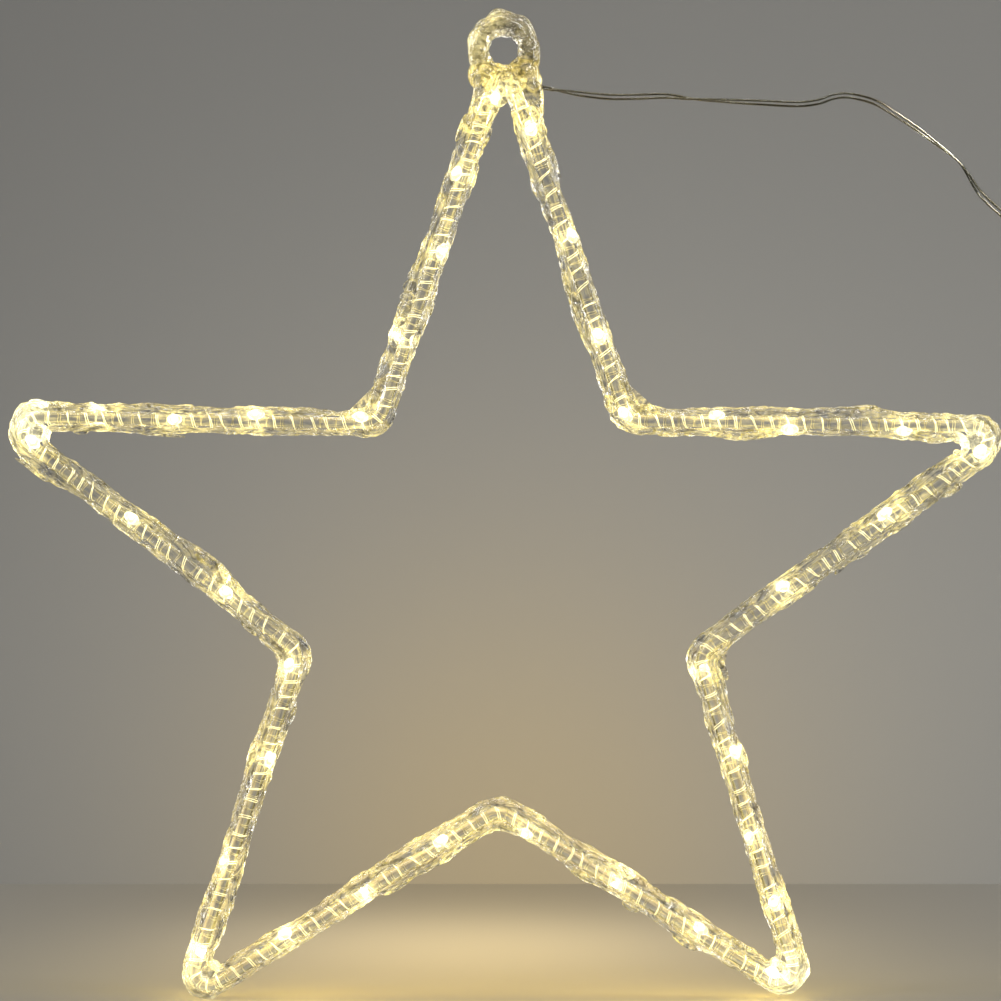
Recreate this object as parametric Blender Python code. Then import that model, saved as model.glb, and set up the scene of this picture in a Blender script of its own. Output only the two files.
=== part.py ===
"""Hanging LED Christmas star with its lead and battery box.

A clear acrylic rod is bent into a five-pointed outline. A fine flat twin wire is wound round it and carries
resin-dropped LEDs. Clear melted strands run along the rod's outer and inner edges, and a clear eye, melted
round the rod's apex, hangs the star up. The twin wire ends in a clear splice sleeve. A clear twin lead runs
from the sleeve, falls to the table and enters a battery box for three AA cells.

The star faces -Y. The origin is the middle of the eye's hole. Lengths are in metres and +Z is up.
"""

import math

import bmesh
import bpy
import numpy as np
from mathutils import Matrix, Vector

MM = 0.001

# Clearances
FIT_GAP = 0.3 * MM  # between pieces that touch
CUT_OVERRUN = 2.0 * MM  # how far a cutter reaches past what it cuts

# The star's outline: centre lines of ten straight limbs, from tip to notch and back
TIP_RADIUS = 203.1 * MM
NOTCH_RADIUS = 81.25 * MM
STAR_SHIFT = -1.3 * MM
TIP_BEND = 5.5 * MM
NOTCH_BEND = 8.0 * MM
POINTS = 5
# Each hand-bent corner's own reach, and its lean in degrees, in order from the apex to the left
TIP_REACH_SHARES = (0.996, 1.005, 1.007, 0.983, 1.021)
TIP_LEANS = (-0.4, 0.3, -0.7, -0.2, -1.7)
NOTCH_REACH_SHARES = (0.931, 1.009, 1.095, 1.005, 0.961)
NOTCH_LEANS = (2.2, 2.4, -0.5, -3.0, -2.9)
ARC_STEP = math.radians(6)

# The rod
ROD_DIAMETER = 4.4 * MM
ROD_SIDES = 8
ROD_JOINT_GAP = 0.6 * MM  # between the rod's two ends, inside the eye
ROD_STEP = 130.0 * MM
BEND_STEP = math.radians(19)

# The wound light string
WIRE_THICKNESS = 0.4 * MM
WIRE_WIDTH = 1.1 * MM
WIRE_CLEARANCE = 0.5 * MM  # from the rod to the wire at each of its angled points
WINDING_PITCH = 17.0 * MM
CURL_POINTS = 8
WINDING_LEAD_IN = 1.5 * MM  # along the rod, from the wire's free end to the first LED
WINDING_LEAD_IN_ANGLE = 80.0
WINDING_TAIL = 2.5 * MM  # from the underside of the eye's foot, along the last limb
WINDING_TAIL_ANGLE = 180.0

# The LEDs: limb, share along its free stretch, angle in degrees from the front towards the star's outside
LED_PLACE_SHARES = (
    (0, 0.005, -38),
    (0, 0.249, 35),
    (0, 0.474, -25),
    (0, 0.74, 142),
    (1, 0.047, 38),
    (1, 0.321, 38),
    (1, 0.529, 2),
    (1, 0.733, 142),
    (2, 0.118, -22),
    (2, 0.44, -21),
    (2, 0.753, -14),
    (3, 0.043, 38),
    (3, 0.297, -29),
    (3, 0.6, 32),
    (3, 0.849, 162),
    (4, 0.335, -38),
    (4, 0.57, 156),
    (4, 0.823, -21),
    (5, 0.099, 32),
    (5, 0.392, -160),
    (5, 0.653, -33),
    (5, 0.885, -38),
    (6, 0.279, -2),
    (6, 0.477, -29),
    (6, 0.711, 38),
    (6, 0.958, -156),
    (7, 0.276, -38),
    (7, 0.594, -38),
    (7, 0.884, -12),
    (8, 0.292, -38),
    (8, 0.584, -37),
    (8, 0.772, 38),
    (9, 0.019, -13),
    (9, 0.257, -1),
    (9, 0.559, 34),
    (9, 0.891, 5),
)
LED_LENGTH = 3.6 * MM
LED_WIDTH = 2.7 * MM
LED_HEIGHT = 2.2 * MM
LED_SEGMENTS = 10
LED_RINGS = 3

# The melted strands along the rod's edges
STRAND_THICKNESS = 2.4 * MM
STRAND_DEPTH = 3.4 * MM
STRAND_SIDES = 6
STRAND_STEP = 7.0 * MM
STRAND_BEND_STEP = math.radians(26)
STRAND_START = 6.0 * MM  # from the underside of the eye's foot, along the limb
STRAND_INNER_TIP_BEND = 3.2 * MM
STRAND_WAVES = (29.0 * MM, 17.0 * MM)
STRAND_WAVE_SHARES = (0.08, 0.06)
STRAND_WANDER = 0.3 * MM
STRAND_FLATNESS = 0.8  # the share of a strand's depth that its lumps leave as it is
# Each strand's thickness at nine even places along each limb, as shares of STRAND_THICKNESS
OUTER_STRAND_SHARES = (
    (0.85, 1.25, 0.85, 1.10, 0.90, 1.25, 1.45, 1.40, 1.30),
    (0.30, 0.85, 0.90, 0.60, 0.85, 1.00, 0.90, 0.90, 1.15),
    (0.85, 1.45, 0.45, 0.45, 0.45, 0.50, 0.35, 0.35, 0.85),
    (0.95, 0.85, 1.25, 0.75, 0.50, 0.35, 0.60, 0.50, 0.30),
    (0.30, 0.30, 0.35, 0.30, 0.30, 0.30, 0.65, 1.30, 0.85),
    (0.30, 0.30, 0.85, 0.30, 0.50, 0.65, 0.50, 0.30, 0.30),
    (1.00, 1.05, 0.85, 0.65, 0.60, 0.60, 0.65, 0.75, 1.30),
    (0.30, 0.30, 0.30, 0.30, 0.85, 0.85, 0.85, 0.65, 0.65),
    (0.30, 0.30, 0.65, 1.30, 1.00, 0.85, 1.00, 0.65, 0.35),
    (0.50, 0.30, 0.30, 0.30, 0.35, 0.30, 0.60, 1.10, 1.30),
)
INNER_STRAND_SHARES = (
    (0.30, 0.35, 0.30, 0.30, 0.35, 0.35, 0.65, 0.30, 0.30),
    (0.45, 0.50, 0.65, 0.45, 0.45, 1.00, 0.45, 0.65, 0.50),
    (0.50, 0.35, 0.85, 0.80, 1.15, 1.65, 2.10, 0.65, 0.50),
    (0.30, 0.50, 0.35, 0.30, 0.30, 0.90, 1.15, 1.00, 0.50),
    (0.50, 0.90, 0.90, 0.30, 0.90, 1.30, 1.30, 1.30, 1.00),
    (1.30, 0.90, 1.15, 1.65, 0.90, 1.30, 0.90, 1.15, 0.50),
    (0.30, 0.30, 0.45, 0.30, 0.30, 0.30, 0.30, 0.50, 0.30),
    (0.85, 1.10, 1.00, 0.85, 1.00, 1.10, 1.30, 1.15, 0.50),
    (0.50, 1.30, 0.80, 0.30, 0.30, 0.35, 1.30, 0.80, 0.65),
    (0.85, 0.85, 1.60, 1.05, 0.35, 0.85, 0.85, 0.85, 0.65),
)
# The same at the tips and at the notches
OUTER_CORNER_SHARES = (1.0, 1.2)
INNER_CORNER_SHARES = (1.0, 0.9)

# The eye
EYE_HOLE_DIAMETER = 10.8 * MM
EYE_THICKNESS = 8.2 * MM
EYE_DEPTH = 7.6 * MM
EYE_SEGMENTS = 28
EYE_SIDES = 10
EYE_LUMP_SHARE = 0.07
EYE_FOOT_WIDTH = 25.0 * MM
EYE_FOOT_HEIGHT = 11.4 * MM
EYE_FOOT_DEPTH = 10.4 * MM
EYE_FOOT_LUMP_SHARE = 0.06

# The splice sleeve and the lead
SLEEVE_DIAMETER = 2.8 * MM
SLEEVE_LENGTH = 8.5 * MM
LEAD_DIAMETER = 2.2 * MM
LEAD_STEP = 6.4 * MM

# The battery box, for three AA cells
CELLS = 3
CELL_DIAMETER = 14.5 * MM
CELL_LENGTH = 50.5 * MM
CELL_PITCH = 15.0 * MM
NUB_DIAMETER = 5.4 * MM
NUB_HEIGHT = 1.4 * MM
CELL_SEGMENTS = 20
CELL_RIM = 0.6 * MM
BOX_WALL = 1.6 * MM
TROUGH_DEPTH = 4.0 * MM
BOX_CORNER = 2.5 * MM
BOX_LEFT = 222.0 * MM
BOX_DROP = 364.7 * MM  # from the origin down to the table
BAY_LENGTH = 9.5 * MM
PLATE_THICKNESS = 0.5 * MM
PLATE_WIDTH = 10.0 * MM
PLATE_HEIGHT = 11.0 * MM
TAB_WIDTH = 2.0 * MM
TAB_HEIGHT = 1.2 * MM
TAB_REACH = 1.6 * MM
RETURN_THICKNESS = 0.4 * MM
RETURN_HEIGHT = 0.9 * MM
SPRING_WIRE = 0.8 * MM
SPRING_BASE = 8.6 * MM
SPRING_TOP = 5.4 * MM
SPRING_LENGTH = 6.0 * MM
SPRING_CURLS = 4
COVER_THICKNESS = 1.0 * MM
TONGUE_THICKNESS = 1.0 * MM
TONGUE_DEPTH = 0.8 * MM
GRIP_RIBS = 5
GRIP_RIB = 0.9 * MM
GRIP_PITCH = 2.2 * MM
GRIP_LENGTH = 18.0 * MM
GRIP_HEIGHT = 0.5 * MM
LID_THICKNESS = 1.6 * MM
LID_RIM = 1.2 * MM
LID_RIM_HEIGHT = 1.5 * MM
BOARD_LENGTH = 32.0 * MM
BOARD_WIDTH = 8.0 * MM
BOARD_THICKNESS = 1.0 * MM
CHIP_LENGTH = 4.0 * MM
CHIP_HEIGHT = 1.2 * MM
CHIP_PLACE = 11.0 * MM
POST_WIDTH = 4.0 * MM
POST_PLACE = 12.0 * MM
SWITCH_LENGTH = 9.0 * MM
SWITCH_WIDTH = 4.4 * MM
SWITCH_HEIGHT = 3.6 * MM
SWITCH_GROOVE = 1.8 * MM
KNOB_NECK = 1.5 * MM
KNOB_FOOT_HEIGHT = 1.2 * MM
KNOB_CAP_LENGTH = 4.0 * MM
KNOB_CAP_WIDTH = 3.4 * MM
KNOB_CAP_HEIGHT = 1.6 * MM
KNOB_TRAVEL = 3.0 * MM
GROMMET_NECK = 4.0 * MM
GROMMET_FLANGE = 6.4 * MM
GROMMET_FLANGE_LENGTH = 1.2 * MM
GROMMET_NOSE = 3.2 * MM
GROMMET_LENGTH = 8.0 * MM
GROMMET_HEIGHT = 8.0 * MM
GROMMET_SEGMENTS = 14
EDGE_BEVEL = 0.4 * MM


def clear_scene():
    for old in list(bpy.data.objects):
        bpy.data.objects.remove(old)


def material(name, colour, roughness, metallic=0.0, transmission=0.0, glow=0.0):
    """A Principled BSDF in one colour. A transmission of 1 is clear, and glow is emission strength."""
    made = bpy.data.materials.new(name)
    made.use_nodes = True
    shader = made.node_tree.nodes["Principled BSDF"]
    shader.inputs["Base Color"].default_value = (*colour, 1.0)
    shader.inputs["Roughness"].default_value = roughness
    shader.inputs["Metallic"].default_value = metallic
    shader.inputs["Transmission Weight"].default_value = transmission
    shader.inputs["Emission Color"].default_value = (*colour, 1.0)
    shader.inputs["Emission Strength"].default_value = glow
    return made


def mesh_object(name, points, faces, finish=None, smooth=True):
    """An object from points and faces, with its faces turned outwards."""
    mesh = bpy.data.meshes.new(name)
    mesh.from_pydata([tuple(map(float, point)) for point in points], [], faces)
    form = bmesh.new()
    form.from_mesh(mesh)
    bmesh.ops.recalc_face_normals(form, faces=form.faces)
    form.to_mesh(mesh)
    form.free()
    if smooth:
        mesh.shade_smooth()
        mesh.set_sharp_from_angle(angle=math.radians(40))
    made = bpy.data.objects.new(name, mesh)
    bpy.context.scene.collection.objects.link(made)
    if finish:
        mesh.materials.append(finish)
    return made


def block(name, low, high, finish=None):
    """A box between two corners, with its origin at its middle."""
    middle = [(a + b) / 2 for a, b in zip(low, high)]
    half = [(b - a) / 2 for a, b in zip(low, high)]
    form = bmesh.new()
    bmesh.ops.create_cube(form, size=2.0)
    bmesh.ops.scale(form, vec=half, verts=form.verts)
    mesh = bpy.data.meshes.new(name)
    form.to_mesh(mesh)
    form.free()
    made = bpy.data.objects.new(name, mesh)
    made.location = middle
    bpy.context.scene.collection.objects.link(made)
    if finish:
        mesh.materials.append(finish)
    return made


def x_cylinder(name, middle, diameter, length, segments, finish=None):
    """A cylinder along X about its middle."""
    form = bmesh.new()
    bmesh.ops.create_cone(
        form,
        cap_ends=True,
        segments=segments,
        radius1=diameter / 2,
        radius2=diameter / 2,
        depth=length,
        matrix=Matrix.Rotation(math.pi / 2, 4, "Y"),
    )
    mesh = bpy.data.meshes.new(name)
    form.to_mesh(mesh)
    form.free()
    made = bpy.data.objects.new(name, mesh)
    made.location = middle
    bpy.context.scene.collection.objects.link(made)
    if finish:
        mesh.materials.append(finish)
    return made


def x_prism(name, outline, left, right, finish=None):
    """An outline of (y, z) points pushed along X from left to right."""
    form = bmesh.new()
    face = form.faces.new([form.verts.new((left, y, z)) for y, z in outline])
    pushed = bmesh.ops.extrude_face_region(form, geom=[face])["geom"]
    moved = [part for part in pushed if isinstance(part, bmesh.types.BMVert)]
    bmesh.ops.translate(form, vec=(right - left, 0.0, 0.0), verts=moved)
    bmesh.ops.recalc_face_normals(form, faces=form.faces)
    mesh = bpy.data.meshes.new(name)
    form.to_mesh(mesh)
    form.free()
    made = bpy.data.objects.new(name, mesh)
    bpy.context.scene.collection.objects.link(made)
    if finish:
        mesh.materials.append(finish)
    return made


def arc(middle, radius, first, last, segments):
    """Points (y, z) on an arc between two angles in degrees, both ends included."""
    turn = np.radians(np.linspace(first, last, segments + 1))
    return [(middle[0] + radius * math.cos(a), middle[1] + radius * math.sin(a)) for a in turn]


def helper(made):
    """Marks an object as a cutter or a blank, which isn't a piece."""
    made.hide_render = True
    made.display_type = "WIRE"
    return made


def combine(target, tool, operation):
    change = target.modifiers.new(tool.name, "BOOLEAN")
    change.object = helper(tool)
    change.operation = operation
    change.solver = "EXACT"


def cut(target, tool):
    combine(target, tool, "DIFFERENCE")


def join(target, tool):
    combine(target, tool, "UNION")


def bevel(target, width, segments=1):
    change = target.modifiers.new("Edges", "BEVEL")
    change.width = width
    change.segments = segments
    change.limit_method = "ANGLE"
    change.angle_limit = math.radians(50)


def ring_faces(rings, sides, closed):
    """Quads between neighbouring rings of points, with flat ends when the tube is open."""
    faces = []
    for ring in range(rings if closed else rings - 1):
        following = (ring + 1) % rings
        for side in range(sides):
            beside = (side + 1) % sides
            faces.append(
                (
                    ring * sides + side,
                    ring * sides + beside,
                    following * sides + beside,
                    following * sides + side,
                )
            )
    if not closed:
        faces.append(tuple(range(sides)))
        faces.append(tuple(range((rings - 1) * sides, rings * sides)))
    return faces


def swept(name, centres, across, up, half_across, half_up, sides, closed, finish=None):
    """A tube of elliptical rings about centres. across and up are each ring's two unit directions."""
    turn = np.arange(sides) * math.tau / sides + math.pi / sides
    points = (
        centres[:, None]
        + across[:, None] * (half_across[:, None] * np.cos(turn))[:, :, None]
        + up[:, None] * (half_up[:, None] * np.sin(turn))[:, :, None]
    )
    faces = ring_faces(len(centres), sides, closed)
    return mesh_object(name, points.reshape(-1, 3), faces, finish)


def curve_tube(name, route, diameter, resolution, finish):
    """A round tube with filled ends along a route of points."""
    curve = bpy.data.curves.new(name, "CURVE")
    curve.dimensions = "3D"
    curve.bevel_depth = diameter / 2
    curve.bevel_resolution = resolution
    curve.use_fill_caps = True
    spline = curve.splines.new("POLY")
    spline.points.add(len(route) - 1)
    for place, point in zip(spline.points, route):
        place.co = (*map(float, point), 1.0)
    curve.materials.append(finish)
    made = bpy.data.objects.new(name, curve)
    bpy.context.scene.collection.objects.link(made)
    return made


def smooth_route(places, step):
    """Points a step apart on the smooth curve through the places (centripetal Catmull-Rom)."""
    places = np.array(places, float)
    padded = np.vstack([2 * places[0] - places[1], places, 2 * places[-1] - places[-2]])
    fine = []
    for p0, p1, p2, p3 in zip(padded, padded[1:], padded[2:], padded[3:]):
        gaps = [math.sqrt(np.linalg.norm(b - a)) for a, b in ((p0, p1), (p1, p2), (p2, p3))]
        knots = np.cumsum([0.0, *gaps])
        t = np.linspace(knots[1], knots[2], 24, endpoint=False)[:, None]
        a1 = ((knots[1] - t) * p0 + (t - knots[0]) * p1) / (knots[1] - knots[0])
        a2 = ((knots[2] - t) * p1 + (t - knots[1]) * p2) / (knots[2] - knots[1])
        a3 = ((knots[3] - t) * p2 + (t - knots[2]) * p3) / (knots[3] - knots[2])
        b1 = ((knots[2] - t) * a1 + (t - knots[0]) * a2) / (knots[2] - knots[0])
        b2 = ((knots[3] - t) * a2 + (t - knots[1]) * a3) / (knots[3] - knots[1])
        fine.append(((knots[2] - t) * b1 + (t - knots[1]) * b2) / (knots[2] - knots[1]))
    fine = np.vstack([*fine, places[-1:]])
    run = np.concatenate([[0.0], np.cumsum(np.linalg.norm(np.diff(fine, axis=0), axis=1))])
    wanted = np.linspace(0.0, run[-1], max(2, round(run[-1] / step) + 1))
    return np.column_stack([np.interp(wanted, run, fine[:, axis]) for axis in range(3)])


def least_gap(points, thickness, neighbours):
    """The least distance from a wound wire to itself, leaving out each point's own neighbours."""
    points = np.asarray(points)
    apart = np.linalg.norm(points[:, None] - points[None], axis=2)
    index = np.arange(len(points))
    apart[np.abs(index[:, None] - index[None]) <= neighbours] = np.inf
    return float(apart.min() - thickness)


def star_corners():
    """The ten sharp corners of the rod's centre line as (x, z), from the apex to the left and round."""
    corners = []
    for point in range(POINTS):
        for radius, share, lean, half_step in (
            (TIP_RADIUS, TIP_REACH_SHARES[point], TIP_LEANS[point], 0),
            (NOTCH_RADIUS, NOTCH_REACH_SHARES[point], NOTCH_LEANS[point], 1),
        ):
            angle = math.pi / 2 + math.tau * (point + half_step / 2) / POINTS + math.radians(lean)
            corners.append(
                (
                    STAR_SHIFT + radius * share * math.cos(angle),
                    -TIP_RADIUS + radius * share * math.sin(angle),
                )
            )
    return np.array(corners)


def offset_corners(corners, distance):
    """The corners of the outline moved outwards by a distance, or inwards if it is negative."""
    ahead = np.roll(corners, -1, axis=0) - corners
    ahead /= np.linalg.norm(ahead, axis=1)[:, None]
    outward = np.column_stack([ahead[:, 1], -ahead[:, 0]])
    moved = []
    for index, corner in enumerate(corners):
        before, after = outward[index - 1], outward[index]
        moved.append(corner + (before + after) * distance / (1 + before @ after))
    return np.array(moved)


def corner_arc(corners, index, bend):
    """Points on the arc that rounds one corner of a closed outline."""
    corner = corners[index]
    back = corners[index - 1] - corner
    ahead = corners[(index + 1) % len(corners)] - corner
    back /= np.linalg.norm(back)
    ahead /= np.linalg.norm(ahead)
    half = math.acos(back @ ahead) / 2
    middle = corner + (back + ahead) / np.linalg.norm(back + ahead) * bend / math.sin(half)
    first = corner + back * bend / math.tan(half) - middle
    last = corner + ahead * bend / math.tan(half) - middle
    start = math.atan2(first[1], first[0])
    sweep = math.atan2(first[0] * last[1] - first[1] * last[0], first @ last)
    turn = start + sweep * np.linspace(0, 1, max(5, 2 * round(abs(sweep) / ARC_STEP / 2) + 1))
    return middle + bend * np.column_stack([np.cos(turn), np.sin(turn)])


class Outline:
    """A closed outline with rounded corners, measured along its length from the top of the apex."""

    def __init__(self, corners, tip_bend, notch_bend):
        arcs = [corner_arc(corners, i, notch_bend if i % 2 else tip_bend) for i in range(len(corners))]
        top = len(arcs[0]) // 2
        self.points = np.vstack([arcs[0][top:], *arcs[1:], arcs[0][: top + 1]])
        steps = np.linalg.norm(np.diff(self.points, axis=0), axis=1)
        self.run = np.concatenate([[0.0], np.cumsum(steps)])
        self.length = self.run[-1]
        ahead = np.roll(self.points[:-1], -1, axis=0) - np.roll(self.points[:-1], 1, axis=0)
        ahead = np.vstack([ahead, ahead[:1]])
        self.ahead = ahead / np.linalg.norm(ahead, axis=1)[:, None]

    def at(self, run):
        """The places at some lengths along the outline, and the directions along it and outwards."""
        places = np.column_stack([np.interp(run, self.run, self.points[:, k]) for k in (0, 1)])
        ahead = np.column_stack([np.interp(run, self.run, self.ahead[:, k]) for k in (0, 1)])
        ahead /= np.linalg.norm(ahead, axis=1)[:, None]
        return places, ahead, np.column_stack([ahead[:, 1], -ahead[:, 0]])

    def nearest(self, place):
        """The length along the outline of the point nearest to a place."""
        fine = np.linspace(0, self.length, 8000)
        apart = np.linalg.norm(self.at(fine)[0] - place, axis=1)
        return float(fine[apart.argmin()])

    def stations(self, start, end, step, bend_step):
        """Lengths from start to end, a step apart where it is straight and closer round the bends."""
        fine = np.linspace(start, end, 8000)
        ahead = self.at(fine)[1]
        turned = np.abs(np.diff(np.unwrap(np.arctan2(ahead[:, 1], ahead[:, 0]))))
        spent = np.concatenate([[0.0], np.cumsum(np.diff(fine) / step + turned / bend_step)])
        return np.interp(np.linspace(0, spent[-1], math.ceil(spent[-1]) + 1), spent, fine)


def in_space(flat, depth=0.0):
    """Points (x, z) of the star's plane as points in space, at a depth along Y."""
    flat = np.atleast_2d(flat)
    return np.column_stack([flat[:, 0], np.broadcast_to(depth, len(flat)), flat[:, 1]])


CORNERS = star_corners()
ROD_LINE = Outline(CORNERS, TIP_BEND, NOTCH_BEND)
ROD_RADIUS = ROD_DIAMETER / 2
WIRE_RADIUS = ROD_RADIUS + WIRE_CLEARANCE + WIRE_THICKNESS / 2
SEAT_RADIUS = WIRE_RADIUS + WIRE_THICKNESS / 2 + FIT_GAP  # where LEDs and strands begin
BACK = np.array([0.0, 1.0, 0.0])


def limb_place(limb, along):
    """The length along the rod's line of a place on a limb, given from the limb's first sharp corner."""
    first, last = CORNERS[limb], CORNERS[(limb + 1) % len(CORNERS)]
    ahead = (last - first) / np.linalg.norm(last - first)
    return ROD_LINE.nearest(first + ahead * along)


def limb_length(limb):
    return float(np.linalg.norm(CORNERS[(limb + 1) % len(CORNERS)] - CORNERS[limb]))


def foot_reach(neighbour):
    """How far the eye's foot reaches along a limb, from the sharp apex towards a neighbouring corner."""
    apex = CORNERS[0]
    slope = (CORNERS[neighbour] - apex) / np.linalg.norm(CORNERS[neighbour] - apex)
    foot_low = eye_foot_height() - EYE_FOOT_HEIGHT / 2
    return float((foot_low - apex[1]) / slope[1])


def free_stretch(limb):
    """Where the part of a limb that the eye's foot leaves free starts and ends, along the limb."""
    start = foot_reach(1) if limb == 0 else 0.0
    end = limb_length(limb) - (foot_reach(limb) if limb == len(CORNERS) - 1 else 0.0)
    return start, end


def star_rod(finish):
    """The clear rod, bent into the star, with its two ends nearly meeting at the apex."""
    runs = ROD_LINE.stations(ROD_JOINT_GAP / 2, ROD_LINE.length - ROD_JOINT_GAP / 2, ROD_STEP, BEND_STEP)
    places, _, outward = ROD_LINE.at(runs)
    size = np.full(len(runs), ROD_RADIUS)
    up = np.tile(BACK, (len(runs), 1))
    return swept("star_rod", in_space(places), in_space(outward), up, size, size, ROD_SIDES, False, finish)


def led_places():
    """Each LED's length along the rod's line and its angle round the rod, in order along the rod."""
    found = []
    for limb, share, angle in LED_PLACE_SHARES:
        start, end = free_stretch(limb)
        found.append((limb_place(limb, start + share * (end - start)), math.radians(angle)))
    return sorted(found)


def winding_turns(places):
    """Lengths along the rod, and angles that grow without a break, for the wire's start, LEDs and end."""
    last = len(CORNERS) - 1
    end = limb_place(last, free_stretch(last)[1] - WINDING_TAIL)
    knots = [*places, (end, math.radians(WINDING_TAIL_ANGLE))]
    first_run, first_turn = knots[0]
    runs = [first_run - WINDING_LEAD_IN, first_run]
    turns = [first_turn - math.radians(WINDING_LEAD_IN_ANGLE), first_turn]
    for (run, angle), (next_run, next_angle) in zip(knots, knots[1:]):
        part = (next_angle - angle) / math.tau
        whole = max(round((next_run - run) / WINDING_PITCH - part), 0 if part > 0 else 1)
        runs.append(next_run)
        turns.append(turns[-1] + (whole + part) * math.tau)
    return np.array(runs), np.array(turns)


def round_the_rod(run, turn, radius):
    """The point at an angle round the rod, at some length along it, and its direction away from the rod."""
    places, ahead, outward = ROD_LINE.at(np.atleast_1d(run))
    away = in_space(outward) * np.sin(turn)[:, None] - BACK * np.cos(turn)[:, None]
    return in_space(places) + away * radius, away, in_space(ahead)


def light_wire(places, finish):
    """The flat twin wire, one unbroken ribbon wound round the rod and led back to the splice sleeve."""
    knot_runs, knot_turns = winding_turns(places)
    curls = (knot_turns[-1] - knot_turns[0]) / math.tau
    turn = np.linspace(knot_turns[0], knot_turns[-1], round(curls * CURL_POINTS) + 1)
    run = np.interp(turn, knot_turns, knot_runs)
    centres, away, _ = round_the_rod(run, turn, WIRE_RADIUS)
    finish_point = sleeve_end() - np.array([FIT_GAP, 0.0, 0.0])
    square = finish_point - np.array([WIRE_WIDTH, 0.0, 0.0])
    rise = (centres[-1] + square) / 2
    rise[0] = square[0]
    centres = np.vstack([centres, rise, square, finish_point])
    away = np.vstack([away, BACK, BACK, BACK])
    ahead = np.gradient(centres, axis=0)
    ahead -= away * (ahead * away).sum(axis=1)[:, None]
    ahead /= np.linalg.norm(ahead, axis=1)[:, None]
    across = np.cross(away, ahead)
    corner = math.sqrt(2)  # a four-sided ring reaches its corners at this share of its half width
    half_away = np.full(len(centres), WIRE_THICKNESS / 2 * corner)
    half_across = np.full(len(centres), WIRE_WIDTH / 2 * corner)
    made = swept("light_wire", centres, across, away, half_across, half_away, 4, False, finish)
    gap = least_gap(centres, WIRE_WIDTH, CURL_POINTS // 2)
    print(f"light_wire: {curls:.1f} curls, least gap to itself {gap / MM:.2f} mm")
    return made


def led_mesh(finish):
    """A resin drop: a half ellipsoid on a flat base, long along X, rising along Z."""
    points = [(0.0, 0.0, LED_HEIGHT)]
    for ring in range(1, LED_RINGS + 1):
        tilt = math.pi / 2 * ring / LED_RINGS
        for segment in range(LED_SEGMENTS):
            turn = math.tau * segment / LED_SEGMENTS
            points.append(
                (
                    LED_LENGTH / 2 * math.sin(tilt) * math.cos(turn),
                    LED_WIDTH / 2 * math.sin(tilt) * math.sin(turn),
                    LED_HEIGHT * math.cos(tilt),
                )
            )
    faces = [(0, 1 + side, 1 + (side + 1) % LED_SEGMENTS) for side in range(LED_SEGMENTS)]
    for ring in range(LED_RINGS - 1):
        base = 1 + ring * LED_SEGMENTS
        above = base + LED_SEGMENTS
        for side in range(LED_SEGMENTS):
            beside = (side + 1) % LED_SEGMENTS
            faces.append((base + side, above + side, above + beside, base + beside))
    rim = 1 + (LED_RINGS - 1) * LED_SEGMENTS
    faces.append(tuple(range(rim, rim + LED_SEGMENTS)))
    return mesh_object("led_01", points, faces, finish)


def leds(places, finish):
    """The LEDs, each on the wire's outer side and turned along the wire."""
    first = led_mesh(finish)
    knot_runs, knot_turns = winding_turns(places)
    made = [first]
    for number, (run, turn) in enumerate(zip(knot_runs[1:-1], knot_turns[1:-1]), start=1):
        if number > 1:
            piece = bpy.data.objects.new(f"led_{number:02d}", first.data)
            bpy.context.scene.collection.objects.link(piece)
            made.append(piece)
        small = math.radians(4)
        near = np.array([turn - small, turn + small])
        line, _, _ = round_the_rod(np.interp(near, knot_turns, knot_runs), near, WIRE_RADIUS)
        place, away, _ = round_the_rod(run, np.array([turn]), SEAT_RADIUS)
        up = Vector(away[0]).normalized()
        ahead = Vector(line[1] - line[0])
        ahead = (ahead - up * ahead.dot(up)).normalized()
        side = up.cross(ahead)
        turned = Matrix((ahead, side, up)).transposed().to_4x4()
        made[-1].matrix_world = Matrix.Translation(Vector(place[0])) @ turned
    return made


def strand_lumps(line, runs, limb_shares, corner_shares):
    """How thick a strand is at lengths along its line, read from its limbs' tables, with small waves."""
    knots = []
    values = []
    for limb, shares in enumerate(limb_shares):
        first, last = CORNERS[limb], CORNERS[(limb + 1) % len(CORNERS)]
        knots.append(line.nearest(first) if limb else 0.0)
        values.append(corner_shares[limb % 2])
        for number, share in enumerate(shares, start=1):
            knots.append(line.nearest(first + (last - first) * number / (len(shares) + 1)))
            values.append(share)
    order = np.argsort(knots)
    lump = np.interp(runs, np.array(knots)[order], np.array(values)[order])
    for wave, share in zip(STRAND_WAVES, STRAND_WAVE_SHARES):
        lump = lump + share * np.sin(math.tau * runs / wave)
    return lump


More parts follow.
